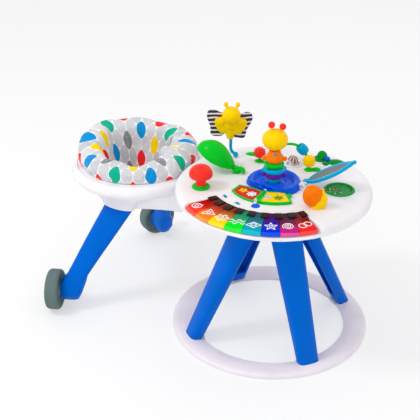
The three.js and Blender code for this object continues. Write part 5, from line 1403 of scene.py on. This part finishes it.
DARK_GREEN = moulded("dark_green_plastic", colour(0, 140, 40), 0.28, 0.3)
MIRROR = moulded("plastic_mirror", colour(150, 150, 152), 0.12, 0.0, 0.05, 0.85)
POND_GREEN = moulded("pond_green", colour(0, 150, 52), 0.2, 0.3)
PRINT_RED = moulded("print_red", colour(206, 48, 34), 0.4, 0.1)
PRINT_GREY = moulded("print_grey", colour(130, 128, 138), 0.5, 0.0)
PRINT_PALE = moulded("print_pale", colour(214, 212, 220), 0.5, 0.0)
PRINT_GREEN = moulded("print_green", colour(120, 150, 20), 0.5, 0.0)


def clear_plastic():
    """Clear moulded plastic with a green cast."""
    finish, tree, shader = new_finish("clear_window")
    place = place_on(tree)
    tree.links.new(cloudy_colour(tree, place, colour(40, 190, 90), 14, 0.05), shader.inputs["Base Color"])
    shader.inputs["Alpha"].default_value = 0.2
    shader.inputs["Specular IOR Level"].default_value = 0.2
    shader.inputs["Roughness"].default_value = 0.06
    return finish


CLEAR = clear_plastic()
wheel_piece("near", 1)
wheel_piece("far", -1)
dish_piece()
mirror_lid_piece()
pond_pieces()
book_pieces()
arch_toys()
lens_piece()
leg_socket(1)
leg_socket(-1)
foot_collars()


# Nodes of the frame that are shown as they are, in their finish

DRESSED = (
    (RING_WHITE, "base_ring"),
    (BLUE, "table_leg_front_left", "table_leg_front_right", "table_leg_rear_right", "table_leg_rear_left"),
    (BLUE, "leg_hub", "seat_leg_near", "seat_leg_far"),
    (WHITE, "tabletop", "table_pan", "battery_door", "swing_arm", "seat_shell", "swivel_ring"),
    (STEEL, "axle_near", "axle_far"),
    (TEAL, "stack_post"),
    (GREEN, "mushroom_collar", "book_frame", "book_page", "arch"),
    (DEEP_BLUE, "round_button"),
    (CYAN, "slide_switch_left", "slide_switch_right"),
)
for finish, *names in DRESSED:
    for name in names:
        dress(name, finish)


# Stage

def stage_floor():
    """A plain pale floor that keeps the shadows and shows a little brighter to the camera."""
    pick_none()
    bpy.ops.mesh.primitive_circle_add(vertices=64, radius=14, fill_type="NGON", location=(0, 0, -0.0005))
    floor = bpy.context.object
    floor.name = "floor"
    finish, tree, shader = new_finish("floor_paint")
    tree.nodes.remove(shader)
    out = tree.nodes["Material Output"]
    work = socket_maths(tree)
    lit = add_node(tree, "ShaderNodeBsdfDiffuse", Color=(0.94, 0.94, 0.94, 1))
    bright = add_node(tree, "ShaderNodeEmission", Strength=1.0)
    paths = add_node(tree, "ShaderNodeLightPath")
    seen = work("MAXIMUM", paths.outputs["Is Camera Ray"], paths.outputs["Is Glossy Ray"])
    blend = add_node(tree, "ShaderNodeMixShader", [
        (0, work("MULTIPLY", seen, 0.45)), (1, lit.outputs[0]), (2, bright.outputs[0])])
    tree.links.new(blend.outputs[0], out.inputs["Surface"])
    floor.data.materials.append(finish)


def studio_world():
    """Soft white light all round, and a plain white behind the object and in its gloss."""
    world = bpy.data.worlds.new("studio")
    scene.world = world
    world.use_nodes = True
    tree = world.node_tree
    tree.nodes.clear()
    out = tree.nodes.new("ShaderNodeOutputWorld")
    work = socket_maths(tree)
    paths = add_node(tree, "ShaderNodeLightPath")
    soft = add_node(tree, "ShaderNodeBackground", Color=(1, 1, 1, 1), Strength=0.84)
    white = add_node(tree, "ShaderNodeBackground", Color=(1, 1, 1, 1), Strength=1.0)
    through = work("MAXIMUM", paths.outputs["Is Camera Ray"], paths.outputs["Is Transmission Ray"])
    seen = work("MAXIMUM", through, paths.outputs["Is Glossy Ray"])
    blend = add_node(tree, "ShaderNodeMixShader", [
        (0, seen), (1, soft.outputs[0]), (2, white.outputs[0])])
    tree.links.new(blend.outputs[0], out.inputs["Surface"])


def soft_lamp(name, spot, size, power):
    """A round soft lamp turned to the middle of the object."""
    lamp = bpy.data.lights.new(name, "AREA")
    lamp.shape = "DISK"
    lamp.size = size
    lamp.energy = power
    holder = bpy.data.objects.new(name, lamp)
    scene.collection.objects.link(holder)
    holder.location = spot
    holder.rotation_mode = "QUATERNION"
    holder.rotation_quaternion = (Vector((0, 0, 0.4)) - Vector(spot)).to_track_quat("-Z", "Y")


def photo_camera():
    """The photograph's view."""
    camera = bpy.data.cameras.new("camera")
    camera.lens = 81.68
    camera.sensor_width = 36
    camera.clip_end = 60
    holder = bpy.data.objects.new("camera", camera)
    scene.collection.objects.link(holder)
    holder.location = (1.3454, -2.2346, 1.7363)
    holder.rotation_mode = "QUATERNION"
    holder.rotation_quaternion = Vector((-0.4599, 0.7520, -0.4722)).to_track_quat("-Z", "Y")
    scene.camera = holder


stage_floor()
studio_world()
soft_lamp("key_lamp", (-1.6, -1.6, 3.0), 0.8, 30)
soft_lamp("front_lamp", (1.5, -2.7, 1.5), 2.4, 13)
soft_lamp("back_lamp", (0.2, 2.6, 2.4), 2.4, 6)
photo_camera()
scene.view_settings.view_transform = "Standard"
